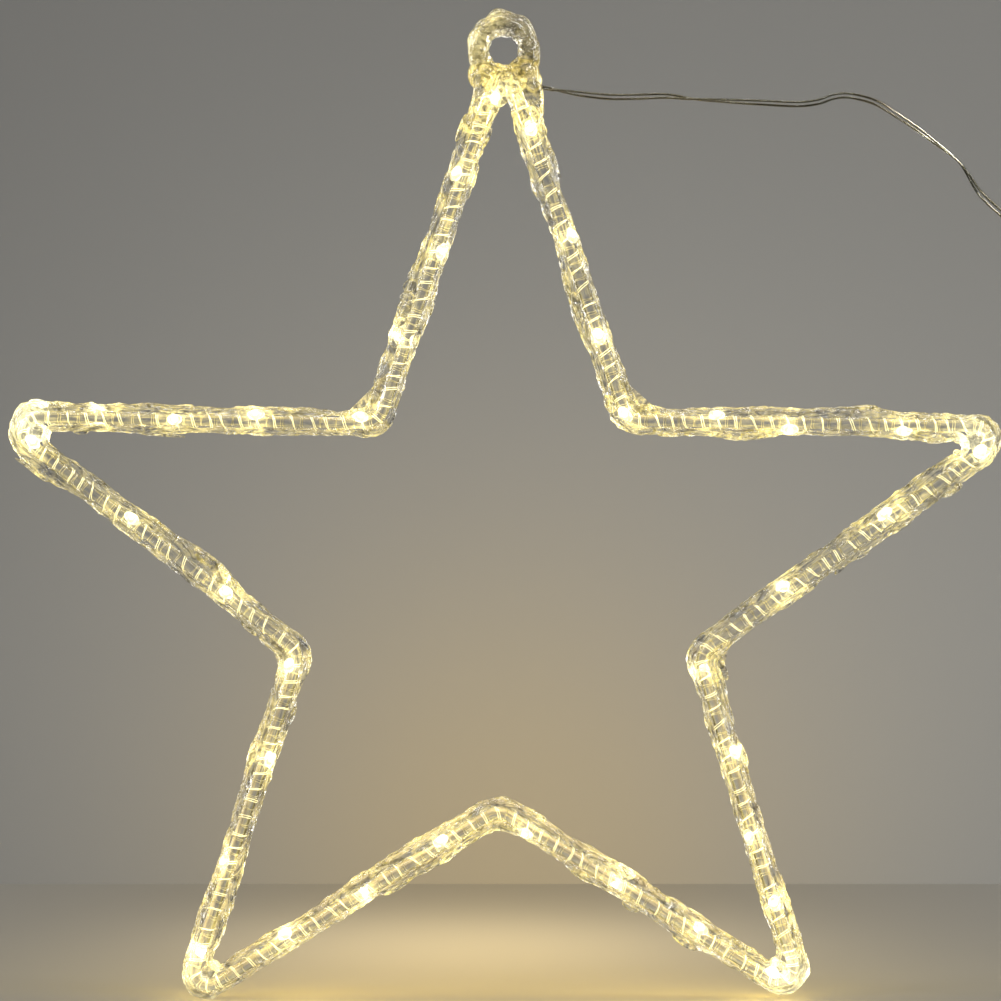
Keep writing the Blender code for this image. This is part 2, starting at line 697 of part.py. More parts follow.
def strand(name, outward_side, limb_shares, corner_shares, finish):
    """A lumpy clear strand along the rod's outer side (+1) or inner side (-1), open at the apex."""
    reach = SEAT_RADIUS + STRAND_THICKNESS / 2
    if outward_side > 0:
        line = Outline(offset_corners(CORNERS, reach), TIP_BEND + reach, NOTCH_BEND - reach)
    else:
        line = Outline(offset_corners(CORNERS, -reach), STRAND_INNER_TIP_BEND, NOTCH_BEND + reach)
    first, last = CORNERS[0], CORNERS[1]
    ahead = (last - first) / np.linalg.norm(last - first)
    start = line.nearest(first + ahead * (foot_reach(1) + STRAND_START))
    first, last = CORNERS[0], CORNERS[-1]
    ahead = (last - first) / np.linalg.norm(last - first)
    end = line.nearest(first + ahead * (foot_reach(len(CORNERS) - 1) + STRAND_START))
    runs = line.stations(start, end, STRAND_STEP, STRAND_BEND_STEP)
    places, _, outward = line.at(runs)
    lump = strand_lumps(line, runs, limb_shares, corner_shares)
    half_across = STRAND_THICKNESS / 2 * lump
    shift = (half_across - STRAND_THICKNESS / 2) * outward_side
    depth = STRAND_WANDER * np.sin(math.tau * runs / STRAND_WAVES[0])
    centres = in_space(places + outward * shift[:, None]) + BACK * depth[:, None]
    half_up = STRAND_DEPTH / 2 * (STRAND_FLATNESS + (1 - STRAND_FLATNESS) * lump)
    half_across[[0, -1]] /= 2
    half_up[[0, -1]] /= 2
    up = np.tile(BACK, (len(runs), 1))
    return swept(name, centres, in_space(outward), up, half_across, half_up, STRAND_SIDES, False, finish)


def eye_foot_height():
    """The height of the middle of the eye's foot, which surrounds the top of the rod's apex bend."""
    top = ROD_LINE.points[0]
    return float(top[1]) + EYE_FOOT_HEIGHT / 2 - ROD_DIAMETER


def hanging_eye(finish):
    """A lumpy clear ring whose foot is melted round the rod's apex."""
    rod_top = float(ROD_LINE.points[0][1]) + ROD_RADIUS + FIT_GAP
    thin = (-rod_top - EYE_HOLE_DIAMETER / 2) / 2
    angle = np.arange(EYE_SEGMENTS) * math.tau / EYE_SEGMENTS
    waves = np.sin(3 * angle + 0.6) + np.sin(5 * angle + 2.1) * 0.8 + np.sin(8 * angle) * 0.5
    lump = 1 + EYE_LUMP_SHARE * waves
    low = np.clip(-np.cos(angle), 0, 1) ** 3
    half_across = EYE_THICKNESS / 2 * lump * (1 - low) + thin * low
    half_up = EYE_DEPTH / 2 * lump
    outward = np.column_stack([np.sin(angle), np.cos(angle)])
    centres = in_space(outward * (EYE_HOLE_DIAMETER / 2 + half_across)[:, None])
    up = np.tile(BACK, (EYE_SEGMENTS, 1))
    ring = swept(
        "hanging_eye", centres, in_space(outward), up, half_across, half_up, EYE_SIDES, True, finish
    )
    join(ring, eye_foot())
    cut(ring, eye_tunnel())
    return ring


def eye_foot():
    """The lumpy mass between the ring and the rod's apex bend."""
    form = bmesh.new()
    bmesh.ops.create_uvsphere(form, u_segments=20, v_segments=11, radius=1.0)
    for point in form.verts:
        x, y, z = point.co
        lump = 1 + EYE_FOOT_LUMP_SHARE * (math.sin(5 * x + 2 * z) + math.cos(4 * z - 3 * y + 1.0))
        point.co = (
            x * lump * EYE_FOOT_WIDTH / 2,
            y * lump * EYE_FOOT_DEPTH / 2,
            z * lump * EYE_FOOT_HEIGHT / 2,
        )
    mesh = bpy.data.meshes.new("eye_foot")
    form.to_mesh(mesh)
    form.free()
    made = bpy.data.objects.new("eye_foot", mesh)
    made.location = (float(ROD_LINE.points[0][0]), 0.0, eye_foot_height())
    bpy.context.scene.collection.objects.link(made)
    return made


def eye_tunnel():
    """The cutter for the tunnel that the rod's apex bend fills."""
    reach = EYE_FOOT_HEIGHT + TIP_BEND * 2
    bend = np.linspace(-TIP_BEND, TIP_BEND, 9)
    runs = np.concatenate([[-reach, -TIP_BEND * 2], bend, [TIP_BEND * 2, reach]])
    places, _, outward = ROD_LINE.at(runs % ROD_LINE.length)
    size = np.full(len(runs), ROD_RADIUS + FIT_GAP)
    up = np.tile(BACK, (len(runs), 1))
    return swept("eye_tunnel", in_space(places), in_space(outward), up, size, size, 12, False)


def sleeve_end():
    """The middle of the splice sleeve's left end, which rests on the back of the eye's foot."""
    height = float(ROD_LINE.points[0][1]) - ROD_DIAMETER / 2 + FIT_GAP
    return np.array([LEAD_PLACES[0][0] - FIT_GAP - SLEEVE_LENGTH, LEAD_PLACES[0][1], height])


def splice_sleeve(finish):
    """The clear sleeve over the joints between the lead's two cores and the wound wire."""
    left = sleeve_end()
    middle = left + np.array([SLEEVE_LENGTH / 2, 0.0, 0.0])
    made = x_cylinder("splice_sleeve", middle, SLEEVE_DIAMETER, SLEEVE_LENGTH, 12, finish)
    bevel(made, EDGE_BEVEL)
    return made


# The lead's route, from the sleeve to the battery box's grommet
LEAD_PLACES = (
    (14.4 * MM, 5.3 * MM, -13.6 * MM),
    (21.0 * MM, 5.3 * MM, -14.8 * MM),
    (31.0 * MM, 5.0 * MM, -16.4 * MM),
    (41.0 * MM, 4.6 * MM, -17.4 * MM),
    (51.4 * MM, 4.2 * MM, -17.4 * MM),
    (63.3 * MM, 3.8 * MM, -17.2 * MM),
    (73.7 * MM, 3.4 * MM, -18.4 * MM),
    (83.7 * MM, 3.0 * MM, -19.0 * MM),
    (98.8 * MM, 2.6 * MM, -19.8 * MM),
    (115.3 * MM, 2.2 * MM, -20.4 * MM),
    (122.4 * MM, 2.0 * MM, -19.3 * MM),
    (126.8 * MM, 2.0 * MM, -17.7 * MM),
    (131.9 * MM, 2.0 * MM, -17.1 * MM),
    (137.2 * MM, 2.0 * MM, -17.9 * MM),
    (143.8 * MM, 2.0 * MM, -20.0 * MM),
    (153.8 * MM, 2.0 * MM, -26.1 * MM),
    (160.4 * MM, 2.0 * MM, -30.6 * MM),
    (166.1 * MM, 2.0 * MM, -35.0 * MM),
    (171.5 * MM, 1.8 * MM, -39.1 * MM),
    (176.0 * MM, 1.6 * MM, -43.3 * MM),
    (179.2 * MM, 1.4 * MM, -47.9 * MM),
    (182.8 * MM, 1.2 * MM, -53.8 * MM),
    (187.5 * MM, 1.0 * MM, -58.8 * MM),
    (192.2 * MM, 1.0 * MM, -63.0 * MM),
    (198.0 * MM, 1.0 * MM, -70.0 * MM),
    (203.0 * MM, 1.0 * MM, -83.0 * MM),
    (206.0 * MM, 1.0 * MM, -105.0 * MM),
    (206.8 * MM, 0.8 * MM, -150.0 * MM),
    (206.0 * MM, 0.6 * MM, -200.0 * MM),
    (204.6 * MM, 0.4 * MM, -250.0 * MM),
    (203.2 * MM, 0.2 * MM, -300.0 * MM),
    (202.8 * MM, 0.0, -329.4 * MM),
    (203.4 * MM, 0.0, -344.7 * MM),
    (206.2 * MM, 0.0, -353.2 * MM),
    (210.4 * MM, 0.0, -356.1 * MM),
    (BOX_LEFT - GROMMET_LENGTH - FIT_GAP, 0.0, GROMMET_HEIGHT - BOX_DROP),
)


def lead(finish):
    """The clear twin lead, from the splice sleeve to the grommet."""
    route = smooth_route(LEAD_PLACES, LEAD_STEP)
    length = np.linalg.norm(np.diff(route, axis=0), axis=1).sum()
    print(f"lead: {length:.3f} m in {len(route)} points")
    return curve_tube("lead", route, LEAD_DIAMETER, 2, finish)


# Places in the battery box, in metres from the origin
BOX_FLOOR = -BOX_DROP
CELL_AXIS = BOX_FLOOR + BOX_WALL + FIT_GAP + CELL_DIAMETER / 2
INNER_WIDTH = CELL_PITCH * CELLS + 2 * FIT_GAP
BOX_WIDTH = INNER_WIDTH + 2 * BOX_WALL
TONGUE_LOW = BOX_FLOOR + BOX_WALL + CELL_DIAMETER + 3 * FIT_GAP
BOX_TOP = TONGUE_LOW + TONGUE_THICKNESS + COVER_THICKNESS
BAY_LEFT = BOX_LEFT + BOX_WALL
BAY_RIGHT = BAY_LEFT + BAY_LENGTH
CELLS_LEFT = BAY_RIGHT + BOX_WALL
CONTACT_ROOM = PLATE_THICKNESS + 2 * FIT_GAP
CELLS_RIGHT = CELLS_LEFT + 2 * CONTACT_ROOM + CELL_LENGTH + SPRING_LENGTH + FIT_GAP
BOX_RIGHT = CELLS_RIGHT + BOX_WALL
LID_LOW = BOX_TOP - LID_THICKNESS
SWITCH_TOP = LID_LOW - FIT_GAP
BOARD_TOP = SWITCH_TOP - SWITCH_HEIGHT - FIT_GAP
BAY_MIDDLE = (BAY_LEFT + BAY_RIGHT) / 2
GROMMET_AXIS = BOX_FLOOR + GROMMET_HEIGHT
PARTITION_MIDDLE = (BAY_RIGHT + CELLS_LEFT) / 2


def cell_y(number):
    """The place across the box of cell 1, 2 or 3."""
    return (number - (CELLS + 1) / 2) * CELL_PITCH


def cell_space_outline():
    """The three troughs side by side, with straight walls above them."""
    inner = INNER_WIDTH / 2
    trough_top = BOX_FLOOR + BOX_WALL + TROUGH_DEPTH
    radius = CELL_DIAMETER / 2 + FIT_GAP
    reach = math.degrees(math.acos((CELL_AXIS - trough_top) / radius))
    outline = [(-inner, trough_top)]
    for number in range(1, CELLS + 1):
        middle = (cell_y(number), CELL_AXIS)
        outline += arc(middle, radius, 270 - reach, 270 + reach, CELL_SEGMENTS // 3)
    over = BOX_TOP + CUT_OVERRUN
    return [*outline, (inner, trough_top), (inner, over), (-inner, over)]


def cover_channel_outline():
    """The cover's mouth between the walls, with a groove in each wall for its tongues."""
    inner = INNER_WIDTH / 2
    groove = inner + TONGUE_DEPTH + FIT_GAP
    low = TONGUE_LOW - FIT_GAP
    high = TONGUE_LOW + TONGUE_THICKNESS + FIT_GAP
    over = BOX_TOP + CUT_OVERRUN
    return [
        (-groove, low),
        (groove, low),
        (groove, high),
        (inner, high),
        (inner, over),
        (-inner, over),
        (-inner, high),
        (-groove, high),
    ]


def battery_tray(finish):
    """The moulded tray: three cell troughs, the electronics bay with its posts, and the cover's grooves."""
    half = BOX_WIDTH / 2
    tray = block("battery_tray", (BOX_LEFT, -half, BOX_FLOOR), (BOX_RIGHT, half, BOX_TOP), finish)
    corners = tray.modifiers.new("Corners", "BEVEL")
    corners.width = BOX_CORNER
    corners.segments = 3
    corners.limit_method = "WEIGHT"
    weights = tray.data.attributes.new("bevel_weight_edge", "FLOAT", "EDGE")
    for edge in tray.data.edges:
        a, b = (tray.data.vertices[k].co for k in edge.vertices)
        weights.data[edge.index].value = 1.0 if abs(a.z - b.z) > abs(a.x - b.x) + abs(a.y - b.y) else 0.0
    inner = INNER_WIDTH / 2
    over = BOX_TOP + CUT_OVERRUN
    ends = CONTACT_ROOM / 2
    cut(tray, x_prism("cell_space", cell_space_outline(), CELLS_LEFT + ends, CELLS_RIGHT - ends))
    plate_low = CELL_AXIS - PLATE_HEIGHT / 2 - FIT_GAP
    for name, left in (("left_contacts", CELLS_LEFT), ("right_contacts", CELLS_RIGHT - CONTACT_ROOM)):
        slot = inner + FIT_GAP
        cut(tray, block(name, (left, -slot, plate_low), (left + CONTACT_ROOM, slot, TONGUE_LOW)))
    cut(tray, block("bay", (BAY_LEFT, -inner, BOX_FLOOR + BOX_WALL), (BAY_RIGHT, inner, over)))
    left = BOX_LEFT - CUT_OVERRUN
    wide = half + CUT_OVERRUN
    cut(tray, block("lid_seat", (left, -wide, LID_LOW - FIT_GAP), (PARTITION_MIDDLE, wide, over)))
    channel = PARTITION_MIDDLE - FIT_GAP, BOX_RIGHT + CUT_OVERRUN
    cut(tray, x_prism("cover_channel", cover_channel_outline(), *channel))
    notch = GROMMET_NECK / 2 + FIT_GAP
    seat = arc((0.0, GROMMET_AXIS), notch, 180, 360, GROMMET_SEGMENTS // 2)
    outline = [*seat, (notch, over), (-notch, over)]
    cut(tray, x_prism("grommet_notch", outline, left, BAY_LEFT + CUT_OVERRUN / 2))
    for name, low, high in contact_slots():
        cut(tray, block(name, low, high))
    post_top = BOARD_TOP - BOARD_THICKNESS - FIT_GAP
    for side in (-1, 1):
        middle = side * POST_PLACE
        join(
            tray,
            block(
                f"post_{'left' if side < 0 else 'right'}",
                (BAY_MIDDLE - POST_WIDTH / 2, middle - POST_WIDTH / 2, BOX_FLOOR + BOX_WALL / 2),
                (BAY_MIDDLE + POST_WIDTH / 2, middle + POST_WIDTH / 2, post_top),
            ),
        )
    return tray


def tab_y():
    """The place across the box of the positive contact's tab."""
    return cell_y(1)


def tab_low():
    """The underside of the tab, which lies on the timer board."""
    return BOARD_TOP + FIT_GAP


def return_y():
    """The place across the box of the return strip, in the valley between cell 3 and the tray's wall."""
    return INNER_WIDTH / 2 - FIT_GAP - RETURN_THICKNESS / 2


def return_low():
    return BOX_FLOOR + BOX_WALL + TROUGH_DEPTH + FIT_GAP


def contact_slots():
    """The two slots in the partition that the positive tab and the return strip pass through."""
    left, right = BAY_RIGHT - CUT_OVERRUN / 4, CELLS_LEFT + CUT_OVERRUN / 4
    tab = TAB_WIDTH / 2 + FIT_GAP
    strip = RETURN_THICKNESS / 2 + 1.5 * FIT_GAP
    return (
        (
            "tab_slot",
            (left, tab_y() - tab, tab_low() - FIT_GAP),
            (right, tab_y() + tab, tab_low() + TAB_HEIGHT + FIT_GAP),
        ),
        (
            "return_slot",
            (left, return_y() - strip, return_low() - FIT_GAP),
            (right, return_y() + strip, return_low() + RETURN_HEIGHT + FIT_GAP),
        ),
    )


def plate_corners(first, last, left):
    """A contact plate's two corners, from cell first to cell last, its left face at a given x."""
    return (
        (left, cell_y(first) - PLATE_WIDTH / 2, CELL_AXIS - PLATE_HEIGHT / 2),
        (left + PLATE_THICKNESS, cell_y(last) + PLATE_WIDTH / 2, CELL_AXIS + PLATE_HEIGHT / 2),
    )


LEFT_PLATES = CELLS_LEFT + FIT_GAP
RIGHT_PLATES = CELLS_RIGHT - FIT_GAP - PLATE_THICKNESS


def contacts(finish):
    """The four stamped contacts that put the three cells in series."""
    positive = block("contact_positive", *plate_corners(1, 1, LEFT_PLATES), finish)
    join(
        positive,
        block(
            "positive_tab",
            (BAY_RIGHT - TAB_REACH, tab_y() - TAB_WIDTH / 2, tab_low()),
            (LEFT_PLATES + PLATE_THICKNESS / 2, tab_y() + TAB_WIDTH / 2, tab_low() + TAB_HEIGHT),
        ),
    )
    block("contact_bridge_left", *plate_corners(2, 3, LEFT_PLATES), finish)
    block("contact_bridge_right", *plate_corners(1, 2, RIGHT_PLATES), finish)
    foot_low = return_low()
    foot_high = foot_low + RETURN_HEIGHT
    edge = return_y() + RETURN_THICKNESS / 2 + FIT_GAP / 2
    (_, near, low), (_, far, high) = plate_corners(3, 3, RIGHT_PLATES)
    outline = [
        (near, low),
        (far, low),
        (far, foot_low - FIT_GAP),
        (edge, foot_low - FIT_GAP),
        (edge, foot_high + FIT_GAP),
        (far, foot_high + FIT_GAP),
        (far, high),
        (near, high),
    ]
    back = x_prism("contact_return", outline, RIGHT_PLATES, RIGHT_PLATES + PLATE_THICKNESS, finish)
    join(
        back,
        block(
            "return_strip",
            (BAY_RIGHT - TAB_REACH, return_y() - RETURN_THICKNESS / 2, foot_low),
            (RIGHT_PLATES + PLATE_THICKNESS / 2, return_y() + RETURN_THICKNESS / 2, foot_high),
        ),
    )


def positive_left(number):
    """Cells 1 and 3 have their nub on the left."""
    return number % 2 == 1


def battery_cells(finish):
    """The three AA cells, each turned from a profile of radius against length."""
    radius = CELL_DIAMETER / 2
    profile = (
        (0.0, radius - CELL_RIM),
        (CELL_RIM, radius),
        (CELL_LENGTH - NUB_HEIGHT - CELL_RIM, radius),
        (CELL_LENGTH - NUB_HEIGHT, radius - CELL_RIM),
        (CELL_LENGTH - NUB_HEIGHT, NUB_DIAMETER / 2),
        (CELL_LENGTH, NUB_DIAMETER / 2),
    )
    nub_end = LEFT_PLATES + PLATE_THICKNESS + FIT_GAP
    for number in range(1, CELLS + 1):
        if positive_left(number):
            start, way = nub_end + CELL_LENGTH, -1
        else:
            start, way = RIGHT_PLATES - FIT_GAP - CELL_LENGTH, 1
        turned(f"aa_cell_{number}", profile, start, way, cell_y(number), CELL_AXIS, CELL_SEGMENTS, finish)


def turned(name, profile, start, way, y, z, segments, finish):
    """A profile of (distance, radius) turned round an axis along X, which runs from start in one way."""
    turn = np.arange(segments) * math.tau / segments
    points = [
        (start + way * along, y + radius * math.cos(a), z + radius * math.sin(a))
        for along, radius in profile
        for a in turn
    ]
    return mesh_object(name, points, ring_faces(len(profile), segments, False), finish)


def cell_springs(finish):
    """A conical spring at each cell's flat end, wide at its plate and narrow at the cell."""
    for number in range(1, CELLS + 1):
        right = positive_left(number)
        plate = RIGHT_PLATES - FIT_GAP if right else LEFT_PLATES + PLATE_THICKNESS + FIT_GAP
        way = -1 if right else 1
        share = np.linspace(0, 1, SPRING_CURLS * CURL_POINTS + 1)
        radius = (SPRING_BASE + (SPRING_TOP - SPRING_BASE) * share - SPRING_WIRE) / 2
        turn = share * SPRING_CURLS * math.tau
        room = SPRING_LENGTH - SPRING_WIRE - FIT_GAP
        centres = np.column_stack(
            [
                plate + way * (SPRING_WIRE / 2 + room * share),
                cell_y(number) + radius * np.cos(turn),
                CELL_AXIS + radius * np.sin(turn),
            ]
        )
        curve_tube(f"cell_spring_{number}", centres, SPRING_WIRE, 1, finish)
        if number == 1:
            gap = least_gap(centres, SPRING_WIRE, CURL_POINTS // 2)
            print(f"cell springs: {SPRING_CURLS} curls each, least gap to itself {gap / MM:.2f} mm")


def battery_cover(finish):
    """The sliding cover: a plate whose side tongues run in the tray's grooves, with thumb ribs."""
    tongue = INNER_WIDTH / 2 + TONGUE_DEPTH
    inner = INNER_WIDTH / 2 - FIT_GAP
    step = TONGUE_LOW + TONGUE_THICKNESS
    outline = [
        (-tongue, TONGUE_LOW),
        (tongue, TONGUE_LOW),
        (tongue, step),
        (inner, step),
        (inner, BOX_TOP),
        (-inner, BOX_TOP),
        (-inner, step),
        (-tongue, step),
    ]
    cover = x_prism("battery_cover", outline, PARTITION_MIDDLE + FIT_GAP, BOX_RIGHT, finish)
    for number in range(GRIP_RIBS):
        place = BOX_RIGHT - GRIP_PITCH * (number + 2)
        join(
            cover,
            block(
                f"grip_rib_{number + 1}",
                (place - GRIP_RIB / 2, -GRIP_LENGTH / 2, BOX_TOP - COVER_THICKNESS / 2),
                (place + GRIP_RIB / 2, GRIP_LENGTH / 2, BOX_TOP + GRIP_HEIGHT),
            ),
        )
    return cover


def bay_lid(finish):
    """The fixed lid over the electronics bay, with a rim inside the walls and the switch's slot."""
    half = BOX_WIDTH / 2
    lid = block("bay_lid", (BOX_LEFT, -half, LID_LOW), (PARTITION_MIDDLE - FIT_GAP, half, BOX_TOP), finish)
    inner = INNER_WIDTH / 2 - FIT_GAP
    rim_low = LID_LOW - LID_RIM_HEIGHT
    for side in (-1, 1):
        a, b = sorted((side * inner, side * (inner - LID_RIM)))
        join(
            lid,
            block(
                f"lid_rim_{'front' if side < 0 else 'back'}",
                (BAY_LEFT + FIT_GAP, a, rim_low),
                (BAY_RIGHT - FIT_GAP, b, LID_LOW + LID_THICKNESS / 2),
            ),
        )
    slot = KNOB_NECK / 2 + FIT_GAP
    cut(
        lid,
        block(
            "knob_slot",
            (BAY_MIDDLE - slot, -KNOB_TRAVEL / 2 - slot, LID_LOW - CUT_OVERRUN / 4),
            (BAY_MIDDLE + slot, KNOB_TRAVEL / 2 + slot, BOX_TOP + CUT_OVERRUN),
        ),
    )
    bevel(lid, EDGE_BEVEL)
    return lid


def circuit_board(finish):
    """The small timer board on the tray's posts, with its chip."""
    low = (BAY_MIDDLE - BOARD_WIDTH / 2, -BOARD_LENGTH / 2, BOARD_TOP - BOARD_THICKNESS)
    high = (BAY_MIDDLE + BOARD_WIDTH / 2, BOARD_LENGTH / 2, BOARD_TOP)
    board = block("timer_board", low, high, finish)
    join(
        board,
        block(
            "timer_chip",
            (BAY_MIDDLE - CHIP_LENGTH / 2, CHIP_PLACE - CHIP_LENGTH / 2, BOARD_TOP - BOARD_THICKNESS / 2),
            (BAY_MIDDLE + CHIP_LENGTH / 2, CHIP_PLACE + CHIP_LENGTH / 2, BOARD_TOP + CHIP_HEIGHT),
        ),
    )
    return board


def switch_body(finish):
    """The slide switch's housing, with the groove that its knob's foot runs in."""
    low = (BAY_MIDDLE - SWITCH_WIDTH / 2, -SWITCH_LENGTH / 2, SWITCH_TOP - SWITCH_HEIGHT)
    high = (BAY_MIDDLE + SWITCH_WIDTH / 2, SWITCH_LENGTH / 2, SWITCH_TOP)
    body = block("switch_body", low, high, finish)
    slot = KNOB_NECK / 2 + FIT_GAP
    cut(
        body,
        block(
            "switch_groove",
            (BAY_MIDDLE - slot, -KNOB_TRAVEL / 2 - slot, SWITCH_TOP - SWITCH_GROOVE),
            (BAY_MIDDLE + slot, KNOB_TRAVEL / 2 + slot, SWITCH_TOP + CUT_OVERRUN),
        ),
    )
    return body


def switch_knob(finish):
    """The knob, at the on end of its slot: a neck that stands in the switch's groove, under a wider cap."""
    place = KNOB_TRAVEL / 2
    half = KNOB_NECK / 2
    cap_low = BOX_TOP + FIT_GAP
    knob = block(
        "switch_knob",
        (BAY_MIDDLE - KNOB_CAP_WIDTH / 2, place - KNOB_CAP_LENGTH / 2, cap_low),
        (BAY_MIDDLE + KNOB_CAP_WIDTH / 2, place + KNOB_CAP_LENGTH / 2, cap_low + KNOB_CAP_HEIGHT),
        finish,
    )
    join(
        knob,
        block(
            "knob_neck",
            (BAY_MIDDLE - half, place - half, SWITCH_TOP - KNOB_FOOT_HEIGHT),
            (BAY_MIDDLE + half, place + half, cap_low + KNOB_CAP_HEIGHT / 2),
        ),
    )
    bevel(knob, EDGE_BEVEL / 2)
    return knob


def lead_grommet(finish):
    """The strain relief in the tray's end wall: inner flange, neck, outer flange and tapered nose."""
    inner = BAY_LEFT + FIT_GAP + GROMMET_FLANGE_LENGTH
    wall_in = BAY_LEFT + FIT_GAP
    wall_out = BOX_LEFT - FIT_GAP
    nose = BOX_LEFT - GROMMET_LENGTH
    profile = [
        (0.0, GROMMET_FLANGE / 2),
        (inner - wall_in, GROMMET_FLANGE / 2),
        (inner - wall_in, GROMMET_NECK / 2),
        (inner - wall_out, GROMMET_NECK / 2),
        (inner - wall_out, GROMMET_FLANGE / 2),
        (inner - wall_out + GROMMET_FLANGE_LENGTH, GROMMET_FLANGE / 2),
        (inner - nose, GROMMET_NOSE / 2),
    ]
    return turned("lead_grommet", profile, inner, -1, 0.0, GROMMET_AXIS, GROMMET_SEGMENTS, finish)


def build():
    clear_scene()
    clear_acrylic = material("clear_acrylic", (0.95, 0.95, 0.92), 0.05, transmission=1.0)
    silver_wire = material("silvered_wire", (0.82, 0.8, 0.72), 0.3, metallic=1.0)
    led_resin = material("lit_led_resin", (1.0, 0.86, 0.55), 0.2, glow=8.0)
    clear_pvc = material("clear_pvc", (0.9, 0.9, 0.88), 0.15, transmission=1.0)
    box_plastic = material("white_abs", (0.85, 0.85, 0.83), 0.4)
    board_finish = material("green_board", (0.05, 0.25, 0.1), 0.5)
    black_plastic = material("black_plastic", (0.03, 0.03, 0.03), 0.45)
    contact_steel = material("nickelled_steel", (0.7, 0.7, 0.68), 0.3, metallic=1.0)
    cell_sleeve = material("cell_sleeve", (0.25, 0.27, 0.3), 0.35)

    places = led_places()
    star_rod(clear_acrylic)
    light_wire(places, silver_wire)
    leds(places, led_resin)
    strand("outer_strand", 1, OUTER_STRAND_SHARES, OUTER_CORNER_SHARES, clear_acrylic)
    strand("inner_strand", -1, INNER_STRAND_SHARES, INNER_CORNER_SHARES, clear_acrylic)
    hanging_eye(clear_acrylic)
    splice_sleeve(clear_pvc)
    lead(clear_pvc)

    battery_tray(box_plastic)
    battery_cover(box_plastic)
    bay_lid(box_plastic)
    contacts(contact_steel)
    battery_cells(cell_sleeve)
    cell_springs(contact_steel)
    circuit_board(board_finish)
    switch_body(black_plastic)
    switch_knob(black_plastic)
    lead_grommet(clear_pvc)


build()
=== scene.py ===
"""Looks of the hanging LED star, laid out as a Blender add-on and run as a script.

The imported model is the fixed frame. The clear rod, its wound twin wire, the LEDs, the melted coat, the eye,
the lead and the cell springs are replaced by finer pieces. The battery box keeps its shape and gets finishes.

The star faces -Y, the origin is the middle of the eye's hole, lengths are in metres and +Z is up.
"""

import math

import bpy
import numpy as np
from mathutils import Matrix, Vector


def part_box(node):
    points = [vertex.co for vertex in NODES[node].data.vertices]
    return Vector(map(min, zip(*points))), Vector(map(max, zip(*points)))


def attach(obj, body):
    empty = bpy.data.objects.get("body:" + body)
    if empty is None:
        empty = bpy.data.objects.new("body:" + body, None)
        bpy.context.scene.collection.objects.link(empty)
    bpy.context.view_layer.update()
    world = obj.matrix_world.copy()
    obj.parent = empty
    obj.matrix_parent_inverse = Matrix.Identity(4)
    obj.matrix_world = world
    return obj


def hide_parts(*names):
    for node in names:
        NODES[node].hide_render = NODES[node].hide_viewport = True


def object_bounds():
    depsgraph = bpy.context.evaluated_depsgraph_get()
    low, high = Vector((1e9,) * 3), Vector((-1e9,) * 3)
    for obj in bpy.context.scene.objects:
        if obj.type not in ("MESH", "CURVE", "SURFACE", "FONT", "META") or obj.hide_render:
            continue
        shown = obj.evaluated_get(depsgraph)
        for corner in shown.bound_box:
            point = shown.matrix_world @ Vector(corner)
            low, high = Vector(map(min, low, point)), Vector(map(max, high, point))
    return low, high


bl_info = {
    "name": "Hanging LED Star",
    "version": (1, 0, 0),
    "blender": (4, 5, 0),
    "location": "3D View > Sidebar > LED Star",
    "description": "Builds the looks of a lit acrylic star round its packed model",
    "category": "Object",
}

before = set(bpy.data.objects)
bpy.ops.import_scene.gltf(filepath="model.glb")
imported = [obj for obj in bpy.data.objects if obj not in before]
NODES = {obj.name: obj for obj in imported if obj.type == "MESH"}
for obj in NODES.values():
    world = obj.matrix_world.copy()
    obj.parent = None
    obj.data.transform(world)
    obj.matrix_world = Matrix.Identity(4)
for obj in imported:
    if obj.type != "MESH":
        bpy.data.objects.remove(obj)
CAD_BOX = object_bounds()
BODY = "star"
MM = 0.001
SEED = 7

# The star's outline: the centre line of the bent rod, from the apex to the left and round
TIP_RADIUS = 203.1 * MM
NOTCH_RADIUS = 81.25 * MM
STAR_SHIFT = -1.3 * MM
TIP_BEND = 5.5 * MM
NOTCH_BEND = 8.0 * MM
POINTS = 5
TIP_REACH_SHARES = (0.996, 1.005, 1.007, 0.983, 1.021)
TIP_LEANS = (-0.4, 0.3, -0.7, -0.2, -1.7)
NOTCH_REACH_SHARES = (0.931, 1.009, 1.095, 1.005, 0.961)
NOTCH_LEANS = (2.2, 2.4, -0.5, -3.0, -2.9)
ROD_GAP = 0.6 * MM
ROD_SIDES = 28
ROD_RINGS = 1501
# Two lines of painted glow along the rod: their place and width as shares of its radius, and their strength
# on the rod's front and back
GUIDE_PLACE = 0.66
GUIDE_WIDTH = 0.16
GUIDE_FRONT = 0.75
GUIDE_BACK = 0.2

# The wound light string
WIRE_RADIUS = 2.8 * MM
WINDING_LEAD_IN = 1.5 * MM
WINDING_LEAD_IN_ANGLE = 80.0
WINDING_TAIL = 2.5 * MM
WINDING_TAIL_ANGLE = 180.0
TURN_POINTS = 20
# How far the turns crowd and spread, as amount, waves a radian and phase, and how far they lean
WINDING_CROWDS = ((1.0 * MM, 0.31, 0.0), (0.7 * MM, 0.83, 1.0))
WINDING_LEAN = 0.6 * MM
# The pair rolls to and fro by an angle, over a length of wire a radian. A slower wave shifts its phase
ROLL_ANGLE = 1.2
ROLL_LENGTH = 9 * MM
ROLL_WANDER = (0.9, 0.37)
WIRE_SIDES = 6
TAIL_POINTS = 24
TAIL_BOW = 1.2 * MM

